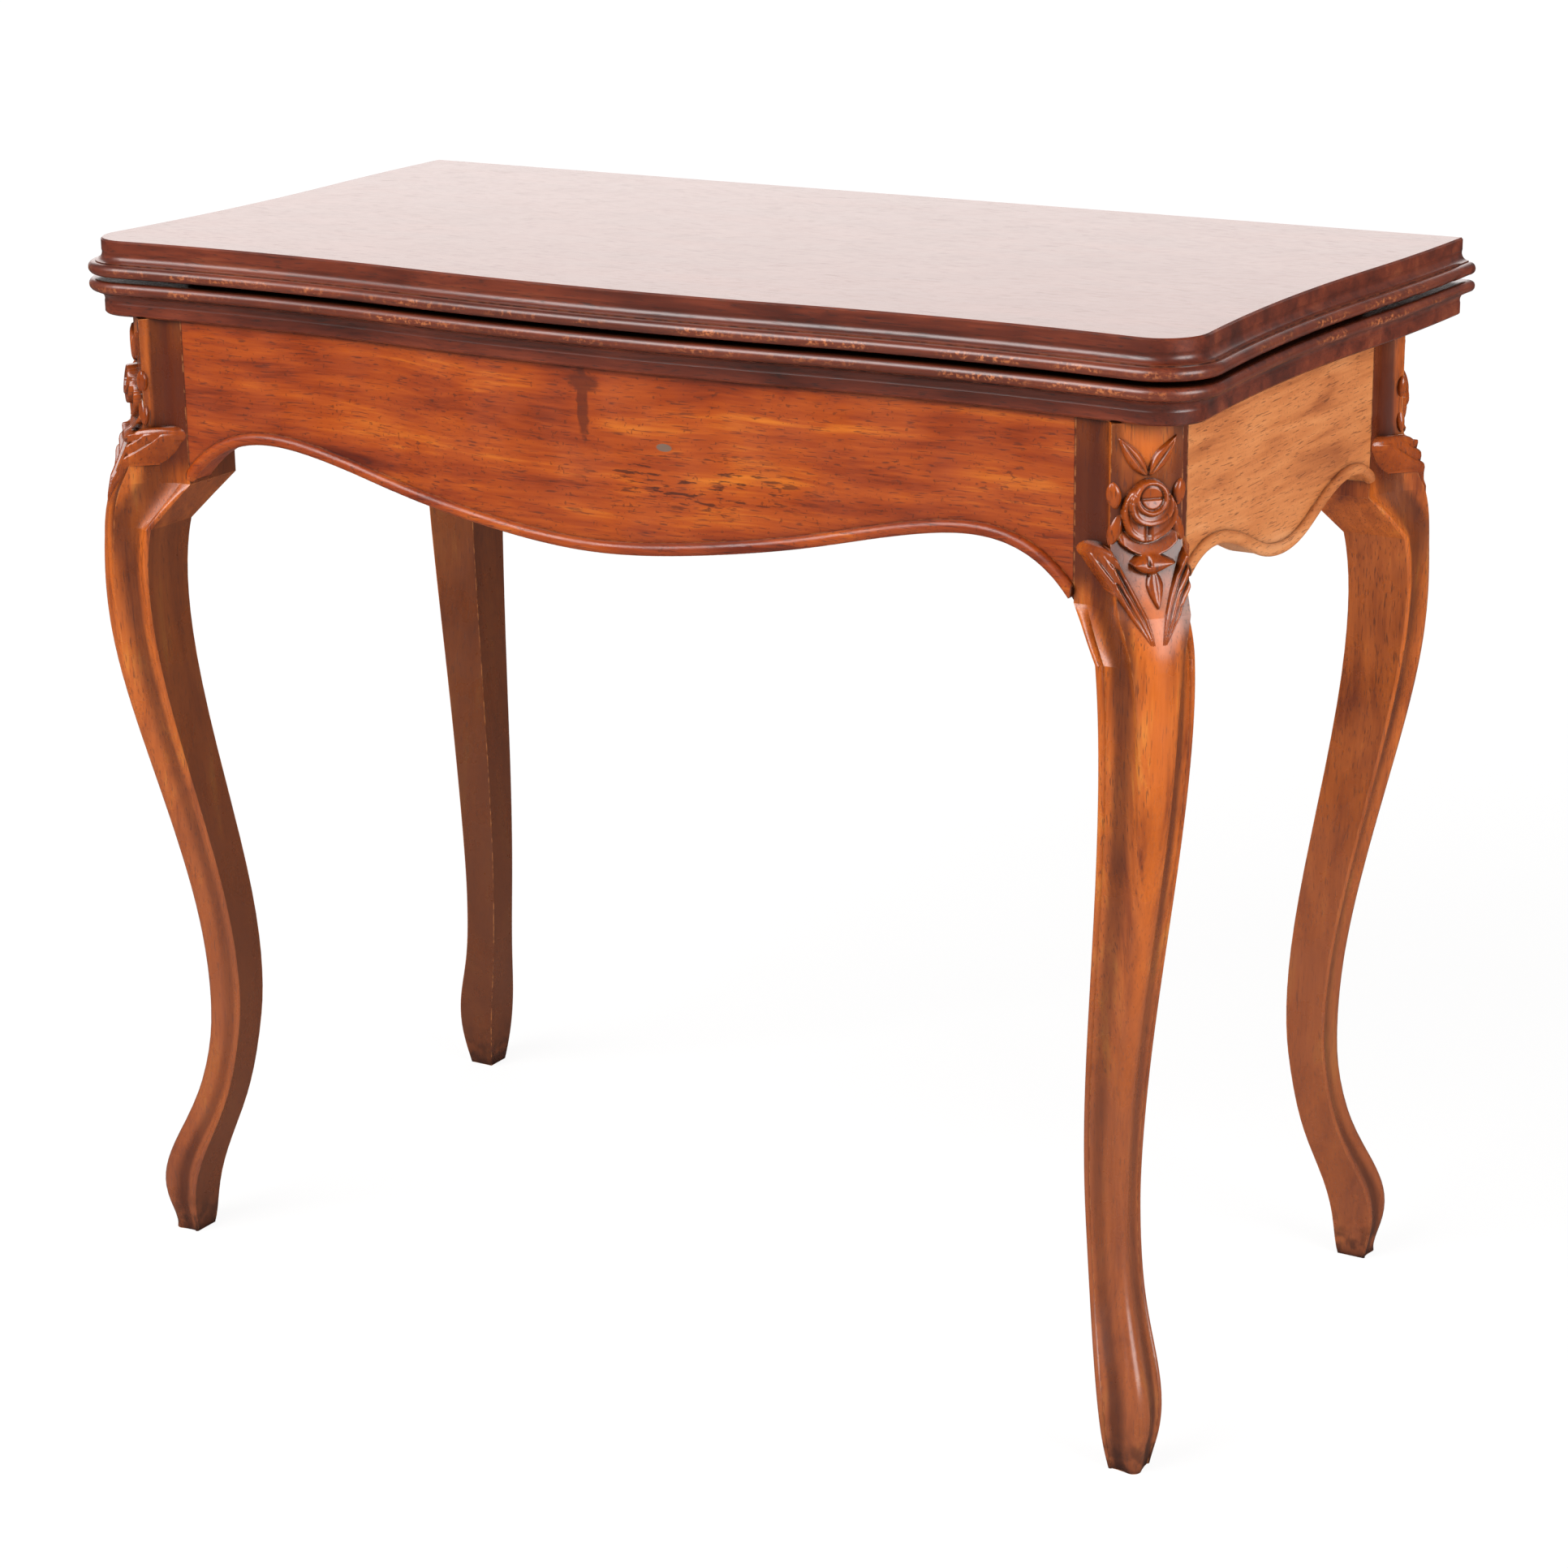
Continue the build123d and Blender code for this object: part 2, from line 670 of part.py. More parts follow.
def leg_section(level, rise):
    """Two flat inner faces; on each outer face a bead and a hollow; a rib on the outer corner."""
    corner = (level.inner + level.side, level.side)
    slant = 1 / math.sqrt(2)
    bead_end = (corner[0] + level.bead * slant, corner[1] - level.bead * slant)
    bead_top = (
        (corner[0] + bead_end[0]) / 2 + rise * level.bead * slant,
        (corner[1] + bead_end[1]) / 2 + rise * level.bead * slant,
    )
    rib_edge = (level.outer - level.crown, level.rib / 2)
    run = (rib_edge[0] - bead_end[0], rib_edge[1] - bead_end[1])
    span = math.hypot(*run)
    mid = (
        (bead_end[0] + rib_edge[0]) / 2 + level.hollow * run[1] / span,
        (bead_end[1] + rib_edge[1]) / 2 - level.hollow * run[0] / span,
    )

    def other(place):
        return (place[0], -place[1])

    def strip(start, top, end):
        return ThreePointArc(start, top, end) if rise else Line(start, end)

    edges = [
        Line((level.inner, 0), corner),
        strip(corner, bead_top, bead_end),
        ThreePointArc(bead_end, mid, rib_edge),
        ThreePointArc(rib_edge, (level.outer, 0), other(rib_edge)),
        ThreePointArc(other(rib_edge), other(mid), other(bead_end)),
        strip(other(bead_end), other(bead_top), other(corner)),
        Line(other(corner), (level.inner, 0)),
    ]
    return Pos(0, 0, level.height) * make_face(edges)


def at_size(shares):
    """A level of the leg in millimetres."""
    return Station(shares.height * knee_top_z, *(share * post_side for share in shares[1:]))


def post_section(height, outer, crown):
    """The post: square behind, with strips flush with the rails and a canted corner between coves."""
    level = Station(
        height=height,
        outer=outer,
        inner=post_inner_corner,
        side=post_half_diagonal,
        bead=post_strip,
        hollow=post_cove,
        rib=cant_breadth,
        crown=crown,
    )
    return leg_section(level, 0)


def plain_leg():
    """Cabriole leg and post in one piece, on its own diagonal.

    The knee is a loft of its own: its quick turn into the post would make the long curve ripple.
    """
    levels = [leg_section(at_size(shares), bead_rise) for shares in leg_stations]
    knee_top = post_section(knee_top_z, knee_top_outer, knee_top_crown)
    shelf = post_section(shelf_z, shelf_outer, cant_crown)
    cant_start = post_section(cant_start_z, cant_outer, cant_crown)
    curve = loft(levels[:-1])
    knee = loft(levels[-2:] + [knee_top])
    shoulder = loft([knee_top, shelf, cant_start])
    post = extrude(cant_start, frame_top_z - cant_start_z)
    return curve + knee + shoulder + post


def leg(hand, side):
    """One leg turned to its corner, with the mortises for both rails."""
    turn = math.degrees(math.atan2(side, hand))
    piece = Pos(hand * foot_x, side * foot_y, 0) * Rot(0, 0, turn) * plain_leg()
    return piece - long_tenon(hand, side, cut_over) - short_tenon(hand, side, cut_over)


# The rails


def lower_edge(marks):
    """A smooth line through the marks of half an edge, mirrored about the middle of the rail."""
    left = [(-along, height) for along, height in marks]
    right = [(along, height) for along, height in reversed(marks)]
    return left + right[1:]


front_marks = [
    (post_in_x, frame_top_z - front_joint_drop),
    (post_in_x * front_arch_share, frame_top_z - front_arch_drop),
    (post_in_x * front_shoulder_share, frame_top_z - front_shoulder_drop),
    (post_in_x * front_slope_share, frame_top_z - front_slope_drop),
    (post_in_x * front_foot_share, frame_top_z - front_foot_drop),
    (0, frame_top_z - front_middle_drop),
]
side_marks = [
    (post_in_y, frame_top_z - side_joint_drop),
    (post_in_y * side_arch_share, frame_top_z - side_arch_drop),
    (post_in_y * side_slope_share, frame_top_z - side_slope_drop),
    (post_in_y * side_foot_share, frame_top_z - side_foot_drop),
    (0, frame_top_z - side_middle_drop),
]


def elevation(marks):
    """The face of a rail seen square on, above its shaped lower edge."""
    points = lower_edge(marks)
    lifted = [(along, height + rail_bead_drop) for along, height in points]
    edge = Spline(lifted)
    end = points[-1][0]
    top = Polyline([lifted[-1], (end, frame_top_z), (-end, frame_top_z), lifted[0]])
    return make_face([edge] + top.edges())


def edge_bead(points):
    """Half-round bead worked on the lower edge, as a rod along a line through the points."""
    path = Spline(points)
    return sweep(Plane(origin=path @ 0, z_dir=path % 0) * Circle(rail_bead_radius), path=path)


def span_between(half_x, half_y):
    """The space between two posts, to cut a rail off square where it meets them."""
    return box_between((-half_x, -half_y, 0), (half_x, half_y, table_height))


def front_face(inset):
    """The front rail's face on plan, a leaf's serpentine drawn parallel."""
    curve = Serpentine(arris_half_width, inset)

    def place(along):
        return (along, arris_front_y + curve.point(along)[1])

    turn_at = bow_half_length - inset * math.sin(curve.lean)
    hollow_mid = (turn_at + post_in_x) / 2
    bow = ThreePointArc(place(-turn_at), place(0), place(turn_at))
    hollows = [
        ThreePointArc(place(hand * turn_at), place(hand * hollow_mid), place(hand * post_in_x))
        for hand in (-1, 1)
    ]
    ends = Polyline([place(post_in_x), (post_in_x, -rail_in_y), (-post_in_x, -rail_in_y), place(-post_in_x)])
    return make_face([bow] + hollows + ends.edges())


def front_rail():
    """Serpentine front rail with its shaped and beaded lower edge."""
    block = extrude(front_face(rail_setback), frame_top_z)
    shape = extrude(Plane.XZ * elevation(front_marks), post_out_y + rail_setback + post_side)
    rail = block & shape
    curve = Serpentine(arris_half_width, rail_setback)
    bead_line = [
        (along, arris_front_y + curve.point(along)[1], height + rail_bead_radius)
        for along, height in lower_edge(front_marks)
    ]
    rail = (rail + edge_bead(bead_line)) & span_between(post_in_x, arris_depth)
    return rail + long_tenon(-1, front, 0) + long_tenon(1, front, 0)


def back_rail():
    """Straight back rail with the same lower edge."""
    face = Plane(origin=(0, rail_in_y, 0), x_dir=(-1, 0, 0), z_dir=(0, 1, 0))
    rail = extrude(face * elevation(front_marks), rail_thickness)
    bead_line = [
        (along, post_out_y, height + rail_bead_radius) for along, height in lower_edge(front_marks)
    ]
    rail = (rail + edge_bead(bead_line)) & span_between(post_in_x, arris_depth)
    return rail + long_tenon(-1, back, 0) + long_tenon(1, back, 0)


def side_rail(hand):
    """Flat side rail with a wave-shaped and beaded lower edge."""
    face = Plane(origin=(hand * rail_in_x, 0, 0), x_dir=(0, hand, 0), z_dir=(hand, 0, 0))
    rail = extrude(face * elevation(side_marks), rail_thickness)
    bead_line = [
        (hand * post_out_x, along, height + rail_bead_radius) for along, height in lower_edge(side_marks)
    ]
    rail = (rail + edge_bead(bead_line)) & span_between(2 * arris_half_width, post_in_y)
    return rail + short_tenon(hand, front, 0) + short_tenon(hand, back, 0)


nodes = {
    "leg_front_left": leg(-1, front),
    "leg_front_right": leg(1, front),
    "leg_back_left": leg(-1, back),
    "leg_back_right": leg(1, back),
    "front_rail": front_rail(),
    "back_rail": back_rail(),
    "left_rail": side_rail(-1),
    "right_rail": side_rail(1),
    "pivot_bearer": pivot_bearer(),
    "bearer_blocks": bearer_blocks(),
    "pivot_bush": pivot_bush(),
    "well_divider": well_divider(),
    "well_bottom": well_bottom(),
    "well_cleats": well_cleats(),
    "lower_leaf": lower_leaf(),
    "baize_lower": baize(lower_top_z - baize_bed),
    "pivot_plate": pivot_plate(),
    "pivot_spindle": pivot_spindle(),
    "pivot_washer": pivot_washer(),
    "pivot_nut": pivot_nut(),
    "pivot_screws": pivot_screws(),
    "stop_peg": stop_peg(),
    "stop_screw": stop_screw(),
    "hinge_plates_lower": hinge_plates(lower_top_z, lower_pin_z, -1),
    "hinge_pins_lower": hinge_pins(lower_pin_z),
    "hinge_screws_lower": hinge_screws(lower_top_z, -1),
    "hinge_links": hinge_links(),
    "upper_leaf": upper_leaf(),
    "baize_upper": baize(upper_bottom_z + baize_bed - baize_thickness),
    "hinge_plates_upper": hinge_plates(upper_bottom_z, upper_pin_z, 1),
    "hinge_pins_upper": hinge_pins(upper_pin_z),
    "hinge_screws_upper": hinge_screws(upper_bottom_z, 1),
}

os.makedirs("parts", exist_ok=True)
for name, piece in nodes.items():
    export_step(piece, f"parts/{name}.step")
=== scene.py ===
# %% [markdown]
# # A folding card table with carved knees
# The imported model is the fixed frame: every board, leg and hinge already stands in its place.
# This file gives each surface its finish, lays the baize and adds the carving.

# %% Load the frame
import bpy
import bmesh
import math
import numpy as np
from mathutils import Matrix, Vector
from mathutils.bvhtree import BVHTree


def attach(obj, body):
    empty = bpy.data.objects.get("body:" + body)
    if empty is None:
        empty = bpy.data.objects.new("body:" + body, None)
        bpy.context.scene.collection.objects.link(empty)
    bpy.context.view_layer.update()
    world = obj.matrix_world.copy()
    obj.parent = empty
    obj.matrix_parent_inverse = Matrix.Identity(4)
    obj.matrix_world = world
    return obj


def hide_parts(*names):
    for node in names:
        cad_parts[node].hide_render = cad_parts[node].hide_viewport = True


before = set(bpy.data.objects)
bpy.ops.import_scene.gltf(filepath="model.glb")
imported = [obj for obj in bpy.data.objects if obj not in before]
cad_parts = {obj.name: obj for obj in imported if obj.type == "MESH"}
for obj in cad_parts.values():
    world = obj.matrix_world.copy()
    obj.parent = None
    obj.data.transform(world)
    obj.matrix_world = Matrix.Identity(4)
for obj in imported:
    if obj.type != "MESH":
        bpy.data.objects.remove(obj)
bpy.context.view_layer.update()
MM = 0.001

# %% [markdown]
# ## Two small helpers for materials
# Colours are picked as sRGB hex, the way a paint chart gives them, while the renderer works in
# linear light, so one function turns one into the other. Another function adds a shader node,
# sets its fields and inputs and links it, whatever its kind, so that a material reads as a list.

# %% Colour and node helpers


def srgb(hex_colour):
    """A hex colour as linear red, green, blue and alpha."""
    parts = [int(hex_colour[i : i + 2], 16) / 255 for i in (1, 3, 5)]
    linear = [p / 12.92 if p <= 0.04045 else ((p + 0.055) / 1.055) ** 2.4 for p in parts]
    return (*linear, 1.0)


def add(tree, kind, fields=None, inputs=None):
    """Adds one node. A value in inputs is set on the socket, and a socket is linked to it."""
    made = tree.nodes.new(kind)
    for name, value in (fields or {}).items():
        setattr(made, name, value)
    for name, value in (inputs or {}).items():
        if isinstance(value, bpy.types.NodeSocket):
            tree.links.new(value, made.inputs[name])
        else:
            made.inputs[name].default_value = value
    return made


def ramp(tree, value, stops):
    """A colour ramp through (place, hex colour) stops."""
    made = add(tree, "ShaderNodeValToRGB", inputs={"Fac": value})
    elements = made.color_ramp.elements
    while len(elements) < len(stops):
        elements.new(0.5)
    for element, (place, colour) in zip(elements, stops):
        element.position = place
        element.color = srgb(colour)
    return made.outputs["Color"]


def reach(tree, value, low, high):
    """0 below low, 1 above high, smooth between: a mask cut out of a value."""
    made = add(
        tree,
        "ShaderNodeMapRange",
        {"interpolation_type": "SMOOTHSTEP"},
        {"Value": value, "From Min": low, "From Max": high, "To Min": 0.0, "To Max": 1.0},
    )
    return made.outputs["Result"]


def sums(tree, operation, *values):
    """One step of arithmetic on values or sockets."""
    return add(tree, "ShaderNodeMath", {"operation": operation}, dict(enumerate(values))).outputs[0]


def fade(tree, value, low, high):
    """1 below low, 0 above high: the other side of reach."""
    return sums(tree, "SUBTRACT", 1.0, reach(tree, value, low, high))


def blend_colour(tree, amount, below, above, mode="MIX"):
    """Lays one colour over another by an amount."""
    made = add(tree, "ShaderNodeMix", {"data_type": "RGBA", "blend_type": mode})
    for socket, value in ((0, amount), (6, below), (7, above)):
        if isinstance(value, bpy.types.NodeSocket):
            tree.links.new(value, made.inputs[socket])
        else:
            made.inputs[socket].default_value = value
    return made.outputs[2]


def new_material(name):
    """An empty material with its output and one Principled shader."""
    material = bpy.data.materials.new(name)
    material.use_nodes = True
    tree = material.node_tree
    tree.nodes.clear()
    shader = add(tree, "ShaderNodeBsdfPrincipled")
    output = add(tree, "ShaderNodeOutputMaterial", inputs={"Surface": shader.outputs["BSDF"]})
    output.location = (400, 0)
    return material, tree, shader


print("helpers ready")

# %% [markdown]
# ## French-polished walnut
# Walnut shows long wavy bands of light and dark wood, and pores that look like short dark dashes
# along the grain, about 0.2 mm wide and 3 to 8 mm long. Shellac over it is clear and smooth, which
# gives soft mirror-like lights over a rough-looking wood. Hollows are painted dark, partly for the
# wax and dust that age leaves there and partly as painted shade, and edges are lightened where hands
# rub the polish thin. All this is built from noise that is stretched along the grain, with ambient
# occlusion that paints the hollows dark, once over 14 mm for coves and once over 3.5 mm as painted
# shade in the cuts of the carving, and a bevel for the edges.

# %% Grain and noise


def grain_space(tree, wander):
    """Object coordinates bent a little by slow noise, so that no grain line runs dead straight."""
    place = add(tree, "ShaderNodeTexCoord").outputs["Object"]
    bend = add(
        tree, "ShaderNodeTexNoise", inputs={"Vector": place, "Scale": 7.0, "Detail": 1.0}
    ).outputs["Color"]
    centred = add(
        tree, "ShaderNodeVectorMath", {"operation": "SUBTRACT"}, {0: bend, 1: (0.5, 0.5, 0.5)}
    ).outputs["Vector"]
    shift = add(
        tree, "ShaderNodeVectorMath", {"operation": "SCALE"}, {0: centred, "Scale": wander}
    ).outputs["Vector"]
    bent = add(tree, "ShaderNodeVectorMath", {"operation": "ADD"}, {0: place, 1: shift})
    return place, bent.outputs["Vector"]


def along_grain(tree, vector, grain_axis, stretch):
    """Squeezes the pattern's space so that noise comes out as streaks along the grain."""
    scale = [1.0, 1.0, 1.0]
    scale[grain_axis] = 1.0 / stretch
    return add(
        tree, "ShaderNodeMapping", {"vector_type": "POINT"}, {"Vector": vector, "Scale": scale}
    ).outputs["Vector"]


def noise(tree, vector, width_mm, detail=2.0, roughness=0.5, distortion=0.0):
    """Noise whose blots are about this many millimetres wide."""
    return add(
        tree,
        "ShaderNodeTexNoise",
        inputs={
            "Vector": vector,
            "Scale": 1.0 / (2 * width_mm * MM),
            "Detail": detail,
            "Roughness": roughness,
            "Distortion": distortion,
        },
    ).outputs["Fac"]


def own_normal(tree):
    """The surface's normal in the piece's own space, which stays when the piece turns."""
    return add(tree, "ShaderNodeTexCoord").outputs["Normal"]


def axis_of(tree, place, axis):
    """One coordinate of a place."""
    return add(tree, "ShaderNodeSeparateXYZ", inputs={0: place}).outputs[axis]


print("a 1 mm streak has noise of scale", round(1.0 / (2 * 1.0 * MM)))

# %% Walnut
band_width = 9.0
fibre_width = 1.1
pore_width = 0.45
cloud_width = 34.0
smear_width = 18.0
tone_places = (0.34, 0.46, 0.56, 0.68)
# Reach of the ambient occlusion that paints patina and shade into hollows, and painted shade into
# creases.
patina_and_shade_reach = 14 * MM
crease_shade_reach = 3.5 * MM
worn_edge_radius = 1.3 * MM
pore_depth = 0.25 * MM
walnut_ior = 1.52
shellac_ior = 1.5


def walnut(
    name, axis, tones, gloss, coat, pore_patina_and_shade_colour, edge_colour, edge_wear, marks=None, dull_sides=0.0
):
    """Polished walnut with its grain along an axis. The tones run from dark streak to pale."""
    material, tree, shader = new_material(name)
    place, bent = grain_space(tree, 0.010)
    bands = noise(tree, along_grain(tree, bent, axis, 9.0), band_width, 3.0, 0.55, 0.6)
    fibres = noise(tree, along_grain(tree, bent, axis, 26.0), fibre_width, 2.0, 0.6)
    clouds = noise(tree, place, cloud_width, 2.0, 0.5)
    mixed = sums(tree, "MULTIPLY", bands, 0.55)
    mixed = sums(tree, "ADD", mixed, sums(tree, "MULTIPLY", fibres, 0.2))
    mixed = sums(tree, "ADD", mixed, sums(tree, "MULTIPLY", clouds, 0.25))
    colour = ramp(tree, mixed, list(zip(tone_places, tones)))

    pores = noise(tree, along_grain(tree, bent, axis, 14.0), pore_width, 1.0, 0.5)
    pore_mask = sums(tree, "MULTIPLY", reach(tree, pores, 0.60, 0.70), 0.55)
    colour = blend_colour(tree, pore_mask, colour, srgb(pore_patina_and_shade_colour))

    if marks:
        colour = marks(tree, place, colour)

    # Patina and painted shade: ambient occlusion paints hollows dark over 14 mm, and paints shade
    # into the carving's creases over 3.5 mm.
    hollow_patina_and_shade = add(
        tree, "ShaderNodeAmbientOcclusion", {"samples": 8}, {"Distance": patina_and_shade_reach}
    ).outputs["AO"]
    patina_and_shade_mask = fade(tree, hollow_patina_and_shade, 0.25, 0.95)
    crease_shade = add(
        tree, "ShaderNodeAmbientOcclusion", {"samples": 8}, {"Distance": crease_shade_reach}
    ).outputs["AO"]
    crease_shade_mask = fade(tree, crease_shade, 0.45, 0.92)
    patina_and_shade_mask = sums(tree, "MAXIMUM", patina_and_shade_mask, crease_shade_mask)
    patina_and_shade_mask = sums(tree, "MULTIPLY", patina_and_shade_mask, 0.88)
    colour = blend_colour(tree, patina_and_shade_mask, colour, srgb(pore_patina_and_shade_colour))

    rounded = add(
        tree, "ShaderNodeBevel", {"samples": 6}, {"Radius": worn_edge_radius}
    ).outputs["Normal"]
    facing = add(tree, "ShaderNodeNewGeometry").outputs["Normal"]
    turn = add(
        tree, "ShaderNodeVectorMath", {"operation": "DOT_PRODUCT"}, {0: rounded, 1: facing}
    ).outputs["Value"]
    edge = fade(tree, turn, 0.90, 0.995)
    rubbed = sums(tree, "MULTIPLY", edge, reach(tree, noise(tree, place, 3.0, 3.0), 0.42, 0.62))
    rubbed = sums(tree, "MULTIPLY", rubbed, edge_wear)
    colour = blend_colour(tree, rubbed, colour, srgb(edge_colour))

    low, high = gloss
    smears = noise(tree, place, smear_width, 4.0, 0.6)
    rough = add(
        tree,
        "ShaderNodeMapRange",
        inputs={"Value": smears, "From Min": 0.3, "From Max": 0.7, "To Min": low, "To Max": high},
    ).outputs["Result"]
    rough = sums(tree, "ADD", rough, sums(tree, "MULTIPLY", pore_mask, 0.15))
    flatness = sums(tree, "ABSOLUTE", axis_of(tree, own_normal(tree), 2))
    steepness = sums(tree, "SUBTRACT", 1.0, flatness)
    duller = sums(tree, "MULTIPLY", reach(tree, steepness, 0.02, 0.2), dull_sides)
    rough = sums(tree, "ADD", rough, duller)
    relief = sums(tree, "SUBTRACT", sums(tree, "MULTIPLY", fibres, 0.3), pore_mask)
    bump = add(
        tree,
        "ShaderNodeBump",
        inputs={"Height": relief, "Strength": 0.12, "Distance": pore_depth},
    ).outputs["Normal"]
    tree.links.new(colour, shader.inputs["Base Color"])
    tree.links.new(bump, shader.inputs["Normal"])
    for socket in ("Roughness", "Coat Roughness"):
        tree.links.new(rough, shader.inputs[socket])
    shader.inputs["IOR"].default_value = walnut_ior
    shader.inputs["Coat Weight"].default_value = coat
    shader.inputs["Coat IOR"].default_value = shellac_ior
    return material


print("walnut has bands of", band_width, "mm and pores of", pore_width, "mm")

# %% [markdown]
# ## What time has done to the front rail
# The front rail has a dark drip near the middle, a small filled hole beside it, and a patch of
# short dark scratches. Each is a spot at a known place on the rail, drawn by its distance from
# that place, so that it stays on the wood from any side.

# %% Marks on the front rail
long_joint = 347.5 * MM
short_joint = 148.1 * MM
joint_core = 0.25 * MM
joint_rim = 1.3 * MM
drip_top = Vector((-5.4, -206.0, 690.2)) * MM
drip_length = 49 * MM
drip_half_width = 9 * MM
plug_place = Vector((56.2, -206.0, 649.2)) * MM
plug_half_width = 6 * MM
scratch_place = Vector((80.0, -206.0, 628.0)) * MM
scratch_half_width = 90 * MM
scratch_half_height = 22 * MM


def joint_line(tree, place, axis, at, colour):
    """The thin dark line where a rail meets its post, with dust and old glue in it."""
    past = sums(tree, "SUBTRACT", sums(tree, "ABSOLUTE", axis_of(tree, place, axis)), at)
    line = fade(tree, sums(tree, "ABSOLUTE", past), joint_core, joint_rim)
    return blend_colour(tree, sums(tree, "MULTIPLY", line, 0.8), colour, srgb("#1E0A06"))


def oval(tree, place, centre, half_width, half_height):
    """Distance from a place on the rail, 1 on the rim of an oval."""
    away = add(
        tree, "ShaderNodeVectorMath", {"operation": "SUBTRACT"}, {0: place, 1: tuple(centre)}
    ).outputs["Vector"]
    scaled = add(
        tree,
        "ShaderNodeVectorMath",
        {"operation": "MULTIPLY"},
        {0: away, 1: (1 / half_width, 0.0, 1 / half_height)},
    ).outputs["Vector"]
    return add(tree, "ShaderNodeVectorMath", {"operation": "LENGTH"}, {0: scaled}).outputs["Value"]


def rail_marks(tree, place, colour):
    """The drip, the plug and the scratches, laid over the rail's wood."""
    ragged = sums(tree, "MULTIPLY", noise(tree, place, 3.0, 3.0), 0.9)
    drip_middle = drip_top - Vector((0, 0, drip_length * 0.35))
    drip = oval(tree, place, drip_middle, drip_half_width * 0.6, drip_length * 0.6)
    drip = fade(tree, sums(tree, "ADD", drip, ragged), 1.1, 1.45)
    head = oval(tree, place, drip_top - Vector((0, 0, 4 * MM)), drip_half_width * 1.7, 7 * MM)
    head = fade(tree, sums(tree, "ADD", head, ragged), 1.0, 1.5)
    stain = sums(tree, "MULTIPLY", sums(tree, "MAXIMUM", drip, head), 0.75)
    colour = blend_colour(tree, stain, colour, srgb("#5A2210"))

    field = oval(tree, place, scratch_place, scratch_half_width, scratch_half_height)
    field = fade(tree, field, 0.5, 1.3)
    streaks = noise(tree, along_grain(tree, place, 0, 7.0), 1.3, 3.0, 0.6)
    scratches = sums(tree, "MULTIPLY", field, reach(tree, streaks, 0.55, 0.62))
    scratches = sums(tree, "MULTIPLY", scratches, 0.8)
    colour = blend_colour(tree, scratches, colour, srgb("#3A1A12"))

    specks = noise(tree, place, 1.4, 2.0, 0.5)
    specks = sums(tree, "MULTIPLY", reach(tree, specks, 0.64, 0.70), 0.5)
    colour = blend_colour(tree, specks, colour, srgb("#4A200F"))

    plug = oval(tree, place, plug_place, plug_half_width, plug_half_width * 0.45)
    plug = fade(tree, plug, 0.85, 1.05)
    filled = blend_colour(tree, sums(tree, "MULTIPLY", plug, 0.85), colour, srgb("#6E6256"))
    return joint_line(tree, place, 0, long_joint, filled)


def long_rail_marks(tree, place, colour):
    """The back rail has only its joint lines."""
    return joint_line(tree, place, 0, long_joint, colour)


def short_rail_marks(tree, place, colour):
    """A soft dust-brown speckle and the joint lines of a side rail."""
    specks = noise(tree, place, 1.2, 2.0, 0.5)
    specks = sums(tree, "MULTIPLY", reach(tree, specks, 0.60, 0.70), 0.35)
    colour = blend_colour(tree, specks, colour, srgb("#8A4A24"))
    return joint_line(tree, place, 1, short_joint, colour)


print("drip reaches down to", round((drip_top.z - drip_length) / MM), "mm")

# %% [markdown]
# ## Where the legs are dark and where they are worn
# On each outer face of a leg, a hollow runs beside the middle rib. It is painted much darker than
# the rib and the bead on either side, partly for old polish and dust that stay in it and partly as
# painted shade. The shader finds it by the place across the leg's diagonal, measured against the
# leg's half breadth at that height. The same dirt and painted shade lie on the post's flat strips
# and round the rose. The rib is painted lighter and more orange higher up, a painted highlight.
# Lower down the legs are painted browner and darker, and the inner faces darker, most of all on
# the left legs: painted shade under the table.

# %% Colour down the legs
leg_centre_x = 391.4 * MM
leg_centre_y = 192.0 * MM
leg_half_breadths = ((0.0, 14.0), (36.0, 21.0), (96.0, 19.5), (135.0, 18.4), (224.0, 20.4))
leg_half_breadths += ((376.0, 25.2), (444.0, 28.0), (550.0, 31.7), (580.0, 36.0), (700.0, 36.0))
tallest = 700.0
widest = 40.0


